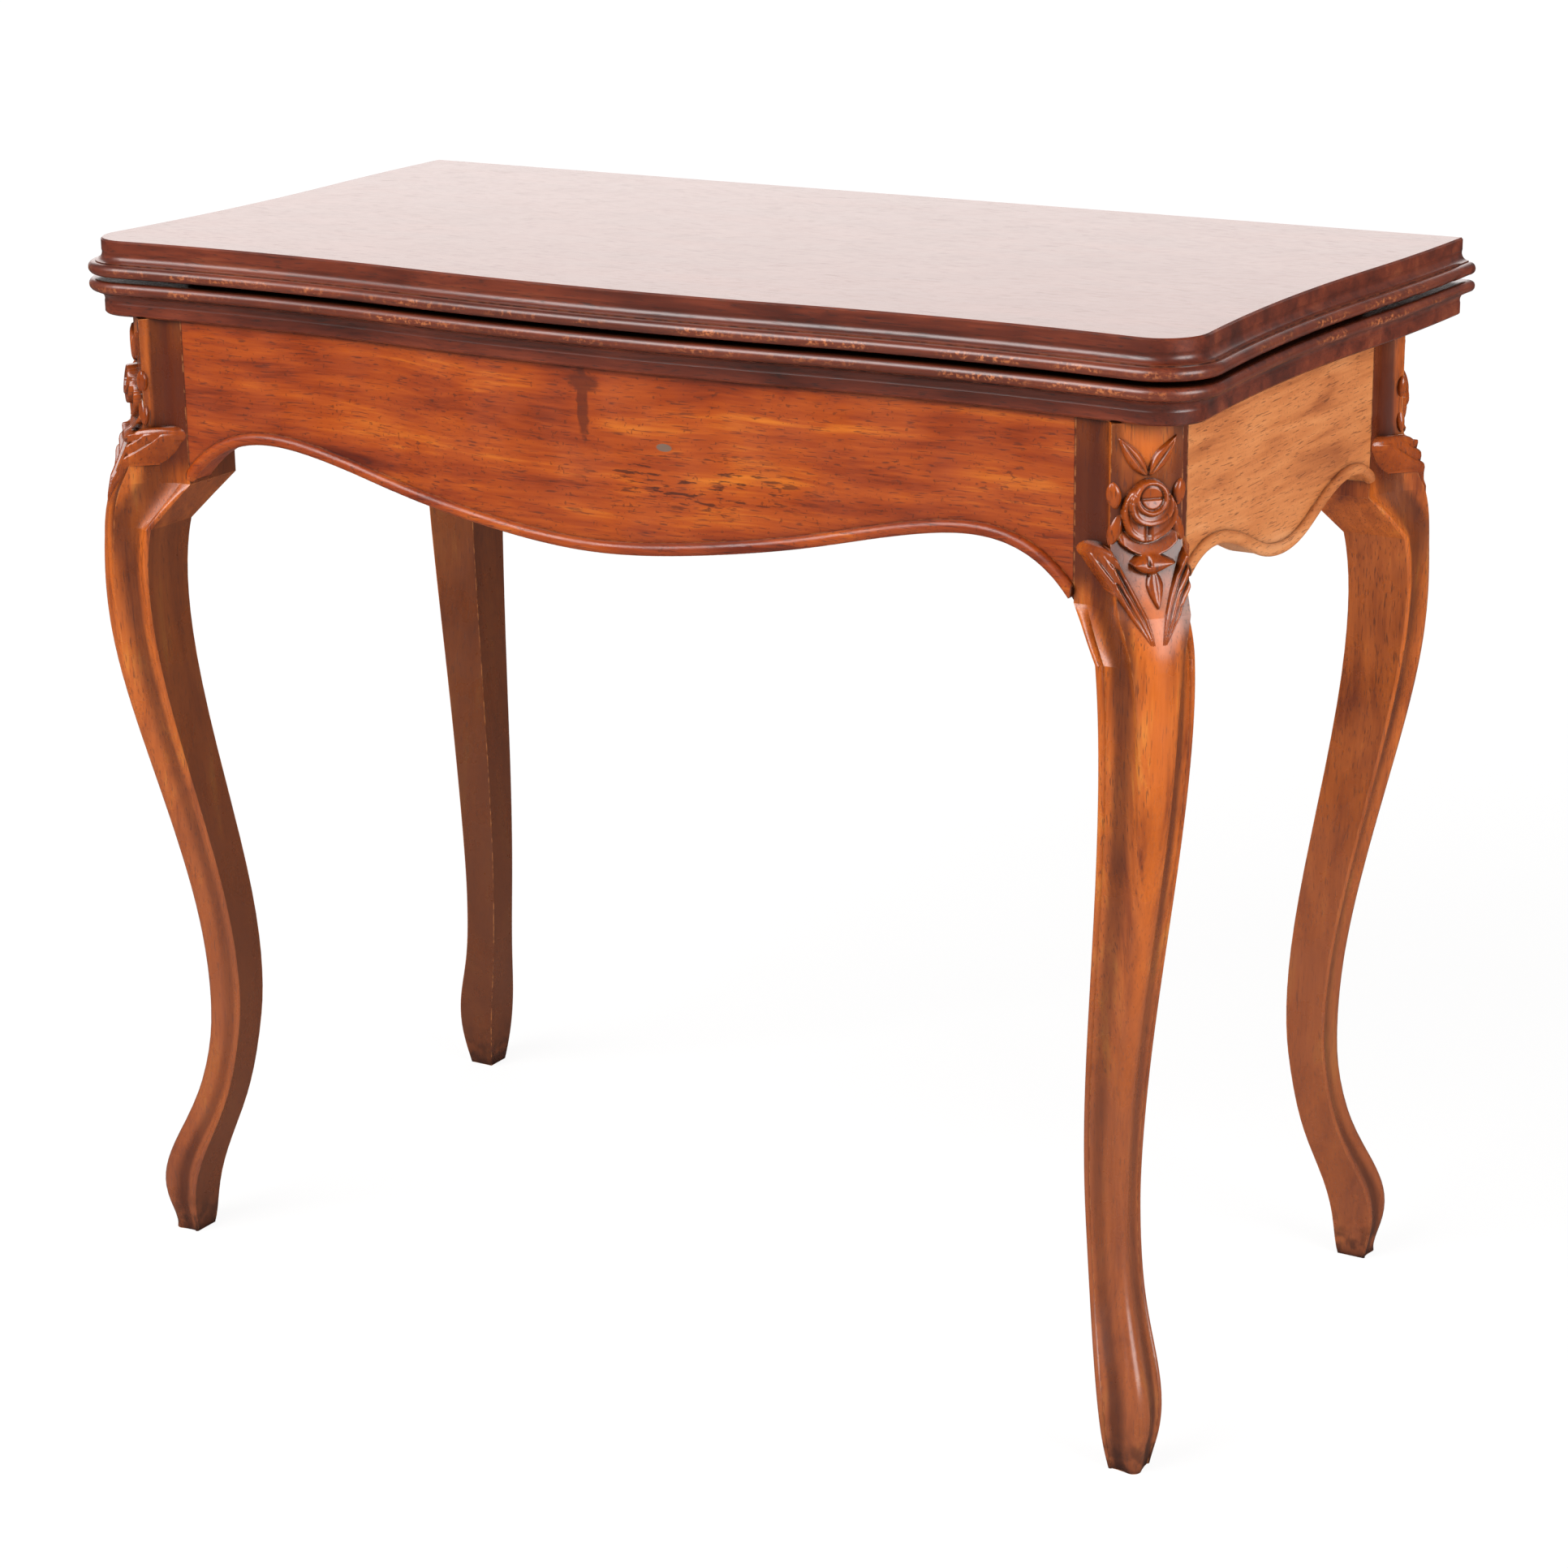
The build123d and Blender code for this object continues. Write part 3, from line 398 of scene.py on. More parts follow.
def leg_marks(tree, place, colour):
    """Patina and painted shade in the hollows and on the post, dirt and painted shade round the
    rose, painted shade low down and on inner faces, a painted highlight on the rib.
    """
    split = add(tree, "ShaderNodeSeparateXYZ", inputs={0: place})
    x, y, z = split.outputs
    off_x = sums(tree, "SUBTRACT", sums(tree, "ABSOLUTE", x), leg_centre_x)
    off_y = sums(tree, "SUBTRACT", sums(tree, "ABSOLUTE", y), leg_centre_y)
    across = sums(tree, "ABSOLUTE", sums(tree, "SUBTRACT", off_x, off_y))
    across = sums(tree, "MULTIPLY", across, math.sqrt(0.5))
    breadth = add(
        tree, "ShaderNodeValToRGB", inputs={"Fac": sums(tree, "DIVIDE", z, tallest * MM)}
    )
    elements = breadth.color_ramp.elements
    while len(elements) < len(leg_half_breadths):
        elements.new(0.5)
    for element, (height, half) in zip(elements, leg_half_breadths):
        element.position = height / tallest
        element.color = (half / widest,) * 3 + (1.0,)
    half = sums(tree, "MULTIPLY", breadth.outputs["Color"], widest * MM)
    share = sums(tree, "DIVIDE", across, half)

    facing = add(tree, "ShaderNodeSeparateXYZ", inputs={0: own_normal(tree)})
    out_x = sums(tree, "MULTIPLY", facing.outputs[0], sums(tree, "SIGN", x))
    out_y = sums(tree, "MULTIPLY", facing.outputs[1], sums(tree, "SIGN", y))
    turned = sums(tree, "ADD", out_x, out_y)
    outward = reach(tree, turned, -0.15, 0.15)

    # Painted shade: the legs are painted browner and darker towards the floor.
    low_leg_shade = fade(tree, z, 0.20, 0.52)
    low_leg_shade = sums(tree, "MULTIPLY", low_leg_shade, 0.70)
    colour = blend_colour(tree, low_leg_shade, colour, srgb("#864A30"))
    # Painted shade: faces turned in under the table are painted darker, most of all on the two left
    # legs.
    inner_face_shade = fade(tree, turned, -1.15, -0.35)
    left_leg_shade = sums(tree, "MULTIPLY", sums(tree, "LESS_THAN", x, 0.0), 0.75)
    left_leg_shade = sums(tree, "ADD", left_leg_shade, 0.1)
    colour = blend_colour(tree, sums(tree, "MULTIPLY", inner_face_shade, left_leg_shade), colour, srgb("#5A2E18"))

    # Dark patina and painted shade in the hollow beside the rib, darkest near the knee and the foot.
    rise = reach(tree, share, 0.34, 0.56)
    fall = fade(tree, share, 0.68, 0.85)
    hollow_patina_and_shade = sums(tree, "MULTIPLY", sums(tree, "MULTIPLY", rise, fall), outward)
    ragged = sums(tree, "ADD", 0.62, sums(tree, "MULTIPLY", noise(tree, place, 16.0, 3.0), 0.5))
    knee = sums(tree, "ADD", 0.45, sums(tree, "MULTIPLY", reach(tree, z, 0.25, 0.50), 0.35))
    foot = sums(tree, "MULTIPLY", fade(tree, z, 0.05, 0.14), 0.35)
    depth = sums(tree, "MULTIPLY", hollow_patina_and_shade, sums(tree, "ADD", knee, foot))
    depth = sums(tree, "MULTIPLY", depth, ragged)
    colour = blend_colour(tree, depth, colour, srgb("#3C170C"))

    # Dirt and painted shade on the post's flat strips beside the carving.
    strip = sums(tree, "MULTIPLY", reach(tree, share, 0.58, 0.72), reach(tree, z, 0.58, 0.60))
    strip = sums(tree, "MULTIPLY", sums(tree, "MULTIPLY", strip, outward), 0.85)
    colour = blend_colour(tree, strip, colour, srgb("#521D0C"))

    # Dirt and painted shade on the ground round the rose, between the raised carving.
    ground = fade(tree, z, 0.664, 0.684)
    ground = sums(tree, "MULTIPLY", ground, reach(tree, z, 0.590, 0.625))
    ground = sums(tree, "MULTIPLY", ground, reach(tree, share, 0.02, 0.26))
    ground = sums(tree, "MULTIPLY", sums(tree, "MULTIPLY", ground, outward), 0.62)
    colour = blend_colour(tree, ground, colour, srgb("#5A220E"))

    sole = fade(tree, z, 0.004, 0.045)
    scuffs = sums(tree, "MULTIPLY", sole, reach(tree, noise(tree, place, 5.0, 4.0), 0.35, 0.65))
    colour = blend_colour(tree, sums(tree, "MULTIPLY", scuffs, 0.75), colour, srgb("#3A1E14"))

    # Painted highlight: the rib is painted lighter and more orange, most of all higher up.
    rib_highlight = fade(tree, share, 0.05, 0.28)
    rib_highlight = sums(tree, "MULTIPLY", rib_highlight, outward)
    rib_highlight = sums(tree, "MULTIPLY", rib_highlight, reach(tree, z, 0.15, 0.5))
    return blend_colour(tree, sums(tree, "MULTIPLY", rib_highlight, 0.6), colour, srgb("#D2660F"))


print("the legs' breadth is known at", len(leg_half_breadths), "heights")

# %% [markdown]
# ## The two faces of a leaf
# The show face of the top has been in the light for a century: it has faded to a paler red-brown
# than its moulded edge, where the dark polish was never rubbed off. The rubbed lines along the
# half-round beads are where hands and chairs touch.

# %% Colour of the leaves
upper_bead = (725.6, 733.6)
lower_bead = (713.4, 721.4)


def leaf_marks(tree, place, colour):
    """Faded show face, and rubbed orange specks along both beads."""
    facing = add(tree, "ShaderNodeSeparateXYZ", inputs={0: own_normal(tree)})
    flat = reach(tree, sums(tree, "ABSOLUTE", facing.outputs[2]), 0.93, 0.99)
    colour = blend_colour(tree, sums(tree, "MULTIPLY", flat, 0.68), colour, srgb("#80442F"))
    height = axis_of(tree, place, 2)
    specks = reach(tree, noise(tree, place, 1.6, 4.0, 0.7), 0.50, 0.60)
    stretches = reach(tree, noise(tree, place, 26.0, 2.0, 0.5), 0.40, 0.62)
    worn = sums(tree, "MULTIPLY", specks, stretches)
    for low, high in (upper_bead, lower_bead):
        middle = (low + high) / 2 * MM
        away = sums(tree, "ABSOLUTE", sums(tree, "SUBTRACT", height, middle))
        band = fade(tree, away, 0.8 * MM, 3.4 * MM)
        side = sums(tree, "SUBTRACT", 1.0, flat)
        amount = sums(tree, "MULTIPLY", sums(tree, "MULTIPLY", worn, band), side)
        colour = blend_colour(tree, sums(tree, "MULTIPLY", band, 0.45), colour, srgb("#6E301C"))
        colour = blend_colour(tree, sums(tree, "MULTIPLY", amount, 0.8), colour, srgb("#C8743F"))
    return colour


print("beads stand between", lower_bead[0], "and", upper_bead[1], "mm")

# %% [markdown]
# ## Which wood goes where
# The rails and legs were cut from differently coloured walnut and have faded differently, so each
# has its own tones; the side rails are painted paler, partly their own tone and partly painted
# light.
# X runs along the long rails, Y along the short ones and Z up the legs.

# %% Make and assign the polished woods
leg_wood = walnut(
    "walnut_legs_french_polished",
    2,
    ("#80340E", "#B25412", "#CC661C", "#E08A30"),
    (0.22, 0.36),
    0.25,
    "#2A0F07",
    "#CE8248",
    0.8,
    leg_marks,
)
carved_wood = walnut(
    "walnut_carving_french_polished",
    2,
    ("#7A2E0C", "#94400F", "#A64A10", "#BC6420"),
    (0.16, 0.28),
    0.4,
    "#220C06",
    "#D28A50",
    0.6,
)
front_wood = walnut(
    "walnut_front_rail_french_polished",
    0,
    ("#641C03", "#963805", "#AE4A07", "#D07016"),
    (0.28, 0.42),
    0.1,
    "#35120A",
    "#C9783C",
    0.5,
    rail_marks,
)
# The side rails are painted paler than the front rail: partly their own tone, partly painted light.
side_wood_painted_light = walnut(
    "walnut_side_rails_french_polished",
    1,
    ("#A85C2E", "#CC7A42", "#DA8A50", "#E59C66"),
    (0.30, 0.44),
    0.15,
    "#4A2010",
    "#DDA070",
    0.5,
    short_rail_marks,
)
back_wood = walnut(
    "walnut_back_rail_french_polished",
    0,
    ("#702C0E", "#984610", "#B05A18", "#C27630"),
    (0.30, 0.44),
    0.2,
    "#35150A",
    "#C98045",
    0.4,
    long_rail_marks,
)
leaf_wood = walnut(
    "walnut_leaves_french_polished",
    0,
    ("#441609", "#602412", "#7A321A", "#944A2A"),
    (0.15, 0.18),
    0.5,
    "#1C0B06",
    "#A85A34",
    0.35,
    leaf_marks,
    0.16,
)


def finish_nodes(material, *names):
    """Gives CAD nodes one material each."""
    for name in names:
        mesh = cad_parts[name].data
        mesh.materials.clear()
        mesh.materials.append(material)


legs = [f"leg_{end}_{side}" for end in ("front", "back") for side in ("left", "right")]
finish_nodes(leg_wood, *legs)
finish_nodes(front_wood, "front_rail")
finish_nodes(back_wood, "back_rail")
finish_nodes(side_wood_painted_light, "left_rail", "right_rail")
finish_nodes(leaf_wood, "lower_leaf", "upper_leaf")
print("polished woods on", len(legs) + 6, "nodes")

# %% [markdown]
# ## Inside wood
# Boards that nobody sees are planed pine or oak without polish: pale, dry and dull, with darker
# lines of late wood every 2 to 4 mm and a little grey from handling.

# %% Plain inside wood


def plain_wood(name, axis):
    """Planed softwood, oiled only by hands."""
    material, tree, shader = new_material(name)
    place, bent = grain_space(tree, 0.005)
    lines = noise(tree, along_grain(tree, bent, axis, 60.0), 3.2, 4.0, 0.7)
    grey = noise(tree, place, 45.0, 3.0)
    colour = ramp(tree, lines, [(0.36, "#97703F"), (0.5, "#B08752"), (0.64, "#C09A63")])
    grime = sums(tree, "MULTIPLY", reach(tree, grey, 0.45, 0.75), 0.5)
    colour = blend_colour(tree, grime, colour, srgb("#6B5640"))
    bump = add(
        tree, "ShaderNodeBump", inputs={"Height": lines, "Strength": 0.35, "Distance": 0.4 * MM}
    ).outputs["Normal"]
    tree.links.new(colour, shader.inputs["Base Color"])
    tree.links.new(bump, shader.inputs["Normal"])
    shader.inputs["Roughness"].default_value = 0.72
    shader.inputs["IOR"].default_value = 1.5
    return material


inside_across = plain_wood("pine_planed_grain_across", 1)
inside_along = plain_wood("pine_planed_grain_along", 0)
finish_nodes(inside_across, "pivot_bearer", "well_divider", "bearer_blocks", "stop_peg")
finish_nodes(inside_along, "well_bottom", "well_cleats")
print("inside woods done")

# %% [markdown]
# ## Brass and iron
# The hinges are drawn brass, worn bright where fingers reach and brown in the corners. The pivot
# is forged iron under the table, dark with a thin skin of oxide and a few rust blooms.

# %% Metals


def old_metal(name, bright, dull, spots, gloss, blot_mm):
    """A metal with a tarnish that comes and goes in blots."""
    material, tree, shader = new_material(name)
    place = add(tree, "ShaderNodeTexCoord").outputs["Object"]
    tarnish = noise(tree, place, blot_mm, 4.0, 0.6)
    colour = ramp(tree, tarnish, [(0.38, bright), (0.52, dull), (0.70, spots)])
    rough = add(
        tree,
        "ShaderNodeMapRange",
        inputs={
            "Value": tarnish,
            "From Min": 0.35,
            "From Max": 0.7,
            "To Min": gloss[0],
            "To Max": gloss[1],
        },
    ).outputs["Result"]
    scratches = noise(tree, along_grain(tree, place, 1, 30.0), 0.15, 2.0)
    bump = add(
        tree, "ShaderNodeBump", inputs={"Height": scratches, "Strength": 0.1, "Distance": 0.05 * MM}
    ).outputs["Normal"]
    for socket, value in (("Base Color", colour), ("Roughness", rough), ("Normal", bump)):
        tree.links.new(value, shader.inputs[socket])
    shader.inputs["Metallic"].default_value = 1.0
    return material


brass = old_metal("brass_drawn_and_worn", "#C9A45C", "#9C7838", "#5E4724", (0.24, 0.48), 4.0)
iron = old_metal("iron_forged_and_oxidised", "#4A4643", "#332F2D", "#4B2F20", (0.45, 0.75), 6.0)
brass_nodes = [
    "pivot_bush",
    "hinge_plates_lower",
    "hinge_plates_upper",
    "hinge_links",
    "hinge_pins_lower",
    "hinge_pins_upper",
    "hinge_screws_lower",
    "hinge_screws_upper",
    "stop_screw",
]
finish_nodes(brass, *brass_nodes)
finish_nodes(iron, "pivot_plate", "pivot_spindle", "pivot_washer", "pivot_nut", "pivot_screws")
print("metals on", len(brass_nodes) + 5, "nodes")

# %% [markdown]
# ## Green baize
# Baize is a wool cloth, fulled until the weave closes and raised to a short nap. Up close it is a
# mat of fine fibres; from a step away it is an even green with soft cloudy patches and a velvety
# edge light, which the sheen gives. It is glued down flat, so no folds.

# %% Baize


def baize_cloth():
    """Fulled and raised wool."""
    material, tree, shader = new_material("wool_baize_fulled")
    place = add(tree, "ShaderNodeTexCoord").outputs["Object"]
    fibres = noise(tree, place, 0.35, 3.0, 0.7)
    patches = noise(tree, place, 40.0, 3.0, 0.6)
    colour = ramp(tree, fibres, [(0.3, "#173F22"), (0.5, "#235A31"), (0.72, "#33723F")])
    faded = sums(tree, "MULTIPLY", reach(tree, patches, 0.42, 0.75), 0.4)
    colour = blend_colour(tree, faded, colour, srgb("#4C7A45"))
    bump = add(
        tree, "ShaderNodeBump", inputs={"Height": fibres, "Strength": 0.7, "Distance": 0.35 * MM}
    ).outputs["Normal"]
    tree.links.new(colour, shader.inputs["Base Color"])
    tree.links.new(bump, shader.inputs["Normal"])
    shader.inputs["Roughness"].default_value = 0.95
    shader.inputs["Specular IOR Level"].default_value = 0.2
    shader.inputs["Sheen Weight"].default_value = 0.25
    shader.inputs["Sheen Roughness"].default_value = 0.45
    return material


cloth = baize_cloth()
cloth_edge_round = 0.5 * MM


def lay_baize(node, body):
    """A sheet cut to the CAD sheet's outline, with its cut edge softened by the nap."""
    shape = bmesh.new()
    shape.from_mesh(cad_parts[node].data)
    bmesh.ops.remove_doubles(shape, verts=shape.verts, dist=0.01 * MM)
    bmesh.ops.dissolve_limit(
        shape, angle_limit=math.radians(1), verts=shape.verts, edges=shape.edges
    )
    rim = [
        e
        for e in shape.edges
        if len(e.link_faces) == 2 and e.calc_face_angle(0) > math.radians(60)
        and abs(e.verts[0].co.z - e.verts[1].co.z) < 0.1 * MM
    ]
    bmesh.ops.bevel(shape, geom=rim, offset=cloth_edge_round, segments=3, affect="EDGES")
    mesh = bpy.data.meshes.new(node + "_cloth")
    shape.to_mesh(mesh)
    shape.free()
    mesh.materials.append(cloth)
    sheet = bpy.data.objects.new(node + "_cloth", mesh)
    bpy.context.scene.collection.objects.link(sheet)
    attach(sheet, body)
    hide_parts(node)
    return sheet


lay_baize("baize_lower", "lower_leaf_assembly")
lay_baize("baize_upper", "upper_leaf_assembly")

# %% [markdown]
# ## The carving on the knees
# A carver works a knee in relief: the ground is the canted face of the post, and what stands up
# from it is a rose with two leaves above, a cup and a bud below, and reeds that sweep down from
# two scrolled tips and run out on the leg's rib. Relief like this is a height over a surface, so
# each knee is a fine grid laid on the leg and raised by a height worked out at every point. Four
# small leaves sit on the corners of the cant, where a height would fall into the coves: they are
# closed shapes. Places are measured across the face (u) and up from the floor (z), in millimetres.

# %% Shapes that the carving is made of


def bump_over(distance, half_width):
    """A rounded ridge: 1 in the middle, 0 from half_width outwards."""
    inside = np.clip(1 - (distance / half_width) ** 2, 0, 1)
    return np.sqrt(inside)


def blade(u, z, root, tip, half_width, lift, vein=0.5):
    """A pointed leaf from root to tip, crowned on both sides of a sunk vein."""
    (u0, z0), (u1, z1) = root, tip
    length = math.hypot(u1 - u0, z1 - z0)
    du, dz = (u1 - u0) / length, (z1 - z0) / length
    t = ((u - u0) * du + (z - z0) * dz) / length
    across = (u - u0) * -dz + (z - z0) * du
    width = half_width * np.sin(np.pi * np.clip(t, 0, 1) ** 0.8)
    crown = np.where(width > 0.05, bump_over(across, np.maximum(width, 0.05)), 0)
    groove = vein * np.exp(-((across / 0.7) ** 2))
    return lift * crown * (1 - groove) * ((t > 0) & (t < 1))


crown = blade(np.array(0.9), np.array(5.0), (0, 0), (0, 10), 2, 3)
print("a blade 10 long, 4 wide and 3 high stands", round(float(crown), 2), "mm up near its crown")

# %% Sizes of the carving
rose_rings = (
    ((0.6, 641.4), 17.4, 5.6),
    ((1.3, 647.6), 13.7, 8.8),
)
eye_centre = (0.9, 651.4)
eye_radius = 8.4
eye_lift = 9.8
rose_lean = 0.32
rose_lean_from = 640.0
rose_lean_over = 22.0
petal_frill = 0.035
petal_slope = 3.4
petal_rim = 0.6
petal_cut = 2.2
eye_rim_lift = 1.0
eye_rim_half = 1.7
eye_sink = 1.6
eye_slit = 1.6
eye_groove = 1.3
bud_centre = (1.6, 610.0)
bud_half = (14.0, 6.6)
bud_lift = 8.0
bud_notch_u = -3.4
calyx_centre = (1.0, 640.0)
calyx_inner = 15.0
calyx_outer = 24.5
calyx_end_z = 631.0
calyx_half = 20.0
reed_top = (27.9, 616.0)
reed_foot = (2.6, 561.0)
reed_fade = 20.0
reed_half = 7.4
reed_lift = 4.6
reed_steep_from = 17.0
scroll_half = (6.8, 5.4)
scroll_lift = 7.4
upper_leaf_root = (0.5, 664.0)
upper_leaf_tip = (18.5, 688.0)
centre_leaf_root = (1.6, 608.0)
centre_leaf_tip = (2.0, 585.0)
print("the rose is", 2 * rose_rings[0][1], "mm across")

# %% The rose


def rose(u, z):
    """Two rings of petals, one over another, and an eye with a rolled rim and a slit."""
    height = np.zeros_like(u)
    for k, ((u0, z0), radius, lift) in enumerate(rose_rings):
        du, dz = u - u0, z - z0
        r = np.hypot(du, dz)
        around = np.arctan2(dz, du)
        frill = 1 + petal_frill * np.cos(3 * around + 1.1 * k)
        rim = petal_rim * bump_over(r - 0.90 * radius * frill, 1.8)
        slope = lift - petal_slope * (1 - r / radius) + rim
        cut = np.exp(-((np.sin((around - 2.1 * k + 1.65) / 2) * r / 0.8) ** 2))
        inside = r < radius * frill
        height = np.where(inside, np.maximum(height, slope - petal_cut * cut), height)
    r = np.hypot(u - eye_centre[0], z - eye_centre[1])
    rolled = eye_lift + eye_rim_lift * bump_over(r - eye_radius - 0.6, eye_rim_half)
    height = np.where(r < eye_radius + 2.2, np.maximum(height, rolled), height)
    lower = z < eye_centre[1] - 0.5
    fall = np.where(lower, eye_centre[1] - z, z - eye_centre[1])
    disc_top = eye_lift - eye_sink + 0.16 * fall
    groove = eye_groove * np.exp(-(((r - eye_radius + 0.8) / 0.7) ** 2))
    slit = np.exp(-(((z - eye_centre[1] + 0.5) / 0.55) ** 2))
    height = np.where(r < eye_radius - 0.4, disc_top - eye_slit * slit - groove, height)
    return height * (1 - rose_lean * np.clip((z - rose_lean_from) / rose_lean_over, 0, 1))


eye_height = rose(np.array([[eye_centre[0]]]), np.array([[eye_centre[1] + 3.0]]))
print("the rose's eye stands", round(float(eye_height[0, 0]), 1), "mm up")

# %% Reeds, scrolls and cup


def reeds(u, z, hand):
    """Three reeds side by side, from the scrolled tip down and in to the rib."""
    span = reed_top[1] - reed_foot[1]
    t = np.clip((reed_top[1] - z) / span, 0, 1)
    middle = hand * (reed_foot[0] + (reed_top[0] - reed_foot[0]) * (1 - t) ** 1.12)
    fade = np.clip((z - reed_foot[1]) / reed_fade, 0, 1)
    half = reed_half * (1 - 0.45 * t) * (0.3 + 0.7 * fade)
    across = (u - middle) / half
    inside = (np.abs(across) < 1) & (z < reed_top[1]) & (z > reed_foot[1])
    ridges = np.abs(np.cos(1.5 * np.pi * across)) ** 0.7
    steep = 1 + 0.9 * np.clip((np.abs(u) - reed_steep_from) / 5, 0, 1)
    lift = reed_lift * steep * (1 - 0.6 * t) * (0.25 + 0.75 * ridges) * fade
    return np.where(inside, lift * np.clip((1 - np.abs(across)) * 5, 0, 1) ** 0.5, 0)


def dome(u, z, centre, half, lift):
    """A low oval dome."""
    r = np.hypot((u - centre[0]) / half[0], (z - centre[1]) / half[1])
    return lift * np.sqrt(np.clip(1 - r**2, 0, 1))


def calyx(u, z):
    """A hollow cup under the rose: a band that rises toward its outer rim."""
    r = np.hypot(u - calyx_centre[0], z - calyx_centre[1])
    rise = np.clip((r - calyx_inner) / (calyx_outer - calyx_inner), 0, 1)
    ends = np.clip((calyx_end_z - z) / 5.0, 0, 1) ** 0.5
    sides = np.clip((calyx_half - np.abs(u - calyx_centre[0])) / 3.0, 0, 1) ** 0.5
    return np.where(r < calyx_outer, (1.6 + 3.0 * rise) * ends * sides, 0)


print("reeds run from", reed_top[1], "down to", reed_foot[1], "mm")

# %% The whole relief


def knee_height(u, z):
    """The whole relief over the ground, in millimetres."""
    parts = [rose(u, z)]
    for hand in (-1, 1):
        root = (hand * upper_leaf_root[0], upper_leaf_root[1])
        tip = (hand * upper_leaf_tip[0], upper_leaf_tip[1])
        parts.append(blade(u, z, root, tip, 4.6, 3.4))
        parts.append(reeds(u, z, hand))
        scroll_centre = (hand * reed_top[0], reed_top[1] - 1.0)
        parts.append(dome(u, z, scroll_centre, scroll_half, scroll_lift))
    parts.append(calyx(u, z))
    parts.append(blade(u, z, centre_leaf_root, centre_leaf_tip, 5.4, 3.2, 0.15))
    left_end = (bud_centre[0] - bud_half[0], bud_centre[1] + 1.5)
    right_end = (bud_centre[0] + bud_half[0], bud_centre[1] + 1.5)
    notch = np.exp(-(((u - bud_centre[0] - bud_notch_u) / 1.0) ** 2)) * (z > bud_centre[1])
    parts.append(blade(u, z, left_end, right_end, bud_half[1], bud_lift, 0.0) * (1 - 0.35 * notch))
    return np.maximum.reduce(parts)


print("the bud stands", bud_lift, "mm up at", bud_centre[1], "mm")

# %% [markdown]
# ## Laying the grid on a leg
# The grid's ground comes from the leg itself: a ray goes in along the knee's diagonal at each grid
# point, and where it meets the wood is the ground. Where there is no carving, the grid sinks a
# little under the wood and ends there, so no border shows.

# %% Carve one knee
small_leaves = (
    ((20.6, 652.5), (4.8, 8.8), 0.14),
    ((19.6, 631.5), (4.4, 10.6), -0.34),
)
small_leaf_thick = 3.4
small_leaf_level = 1.6
small_leaf_yaw = 0.5
grid_step = 0.5
face_half = 35.5
knee_low_z = 560.0
knee_high_z = 691.0
sink = 0.6
ground_proud = 0.12
full_over = 0.6
bridge_share = 0.9
kept_over = 0.02
ray_start = 200.0


def smooth(grid, rounds):
    """Rounds the relief as a chisel and a century of polish do."""
    for _ in range(rounds):
        edge = np.pad(grid, 1, mode="edge")
        grid = (edge[:-2, 1:-1] + edge[2:, 1:-1] + edge[1:-1, :-2] + edge[1:-1, 2:]) / 8 + grid / 2
    return grid


def stretched_over(row_u, row_s):
    """A string stretched over one row of the ground: it bridges every hollow."""
    kept = []
    for point in zip(row_u, row_s):
        while len(kept) > 1:
            (u0, s0), (u1, s1) = kept[-2], kept[-1]
            if (u1 - u0) * (point[1] - s0) < (s1 - s0) * (point[0] - u0):
                break
            kept.pop()
        kept.append(point)
    corner_u, corner_s = zip(*kept)
    return np.interp(row_u, corner_u, corner_s)


def small_leaf(shape, hand, place, half, lean):
    """A closed, rounded leaf on the corner of the cant, half of it sunk in the post."""
    made = bmesh.ops.create_uvsphere(shape, u_segments=24, v_segments=16, radius=1.0)["verts"]
    for vert in made:
        pinch = 1 - 0.35 * abs(vert.co.z) ** 3
        side, height = vert.co.x * half[0] * pinch, vert.co.z * half[1]
        proud = vert.co.y * small_leaf_thick - 0.5 * bump_over(vert.co.x, 0.3) * (vert.co.y > 0)
        side, proud = (
            side * math.cos(small_leaf_yaw) + proud * math.sin(small_leaf_yaw),
            proud * math.cos(small_leaf_yaw) - side * math.sin(small_leaf_yaw),
        )
        u = hand * (place[0] + side * math.cos(lean) + height * math.sin(lean))
        z = place[1] + height * math.cos(lean) - side * math.sin(lean)
        vert.co = (u, small_leaf_level + proud, z)


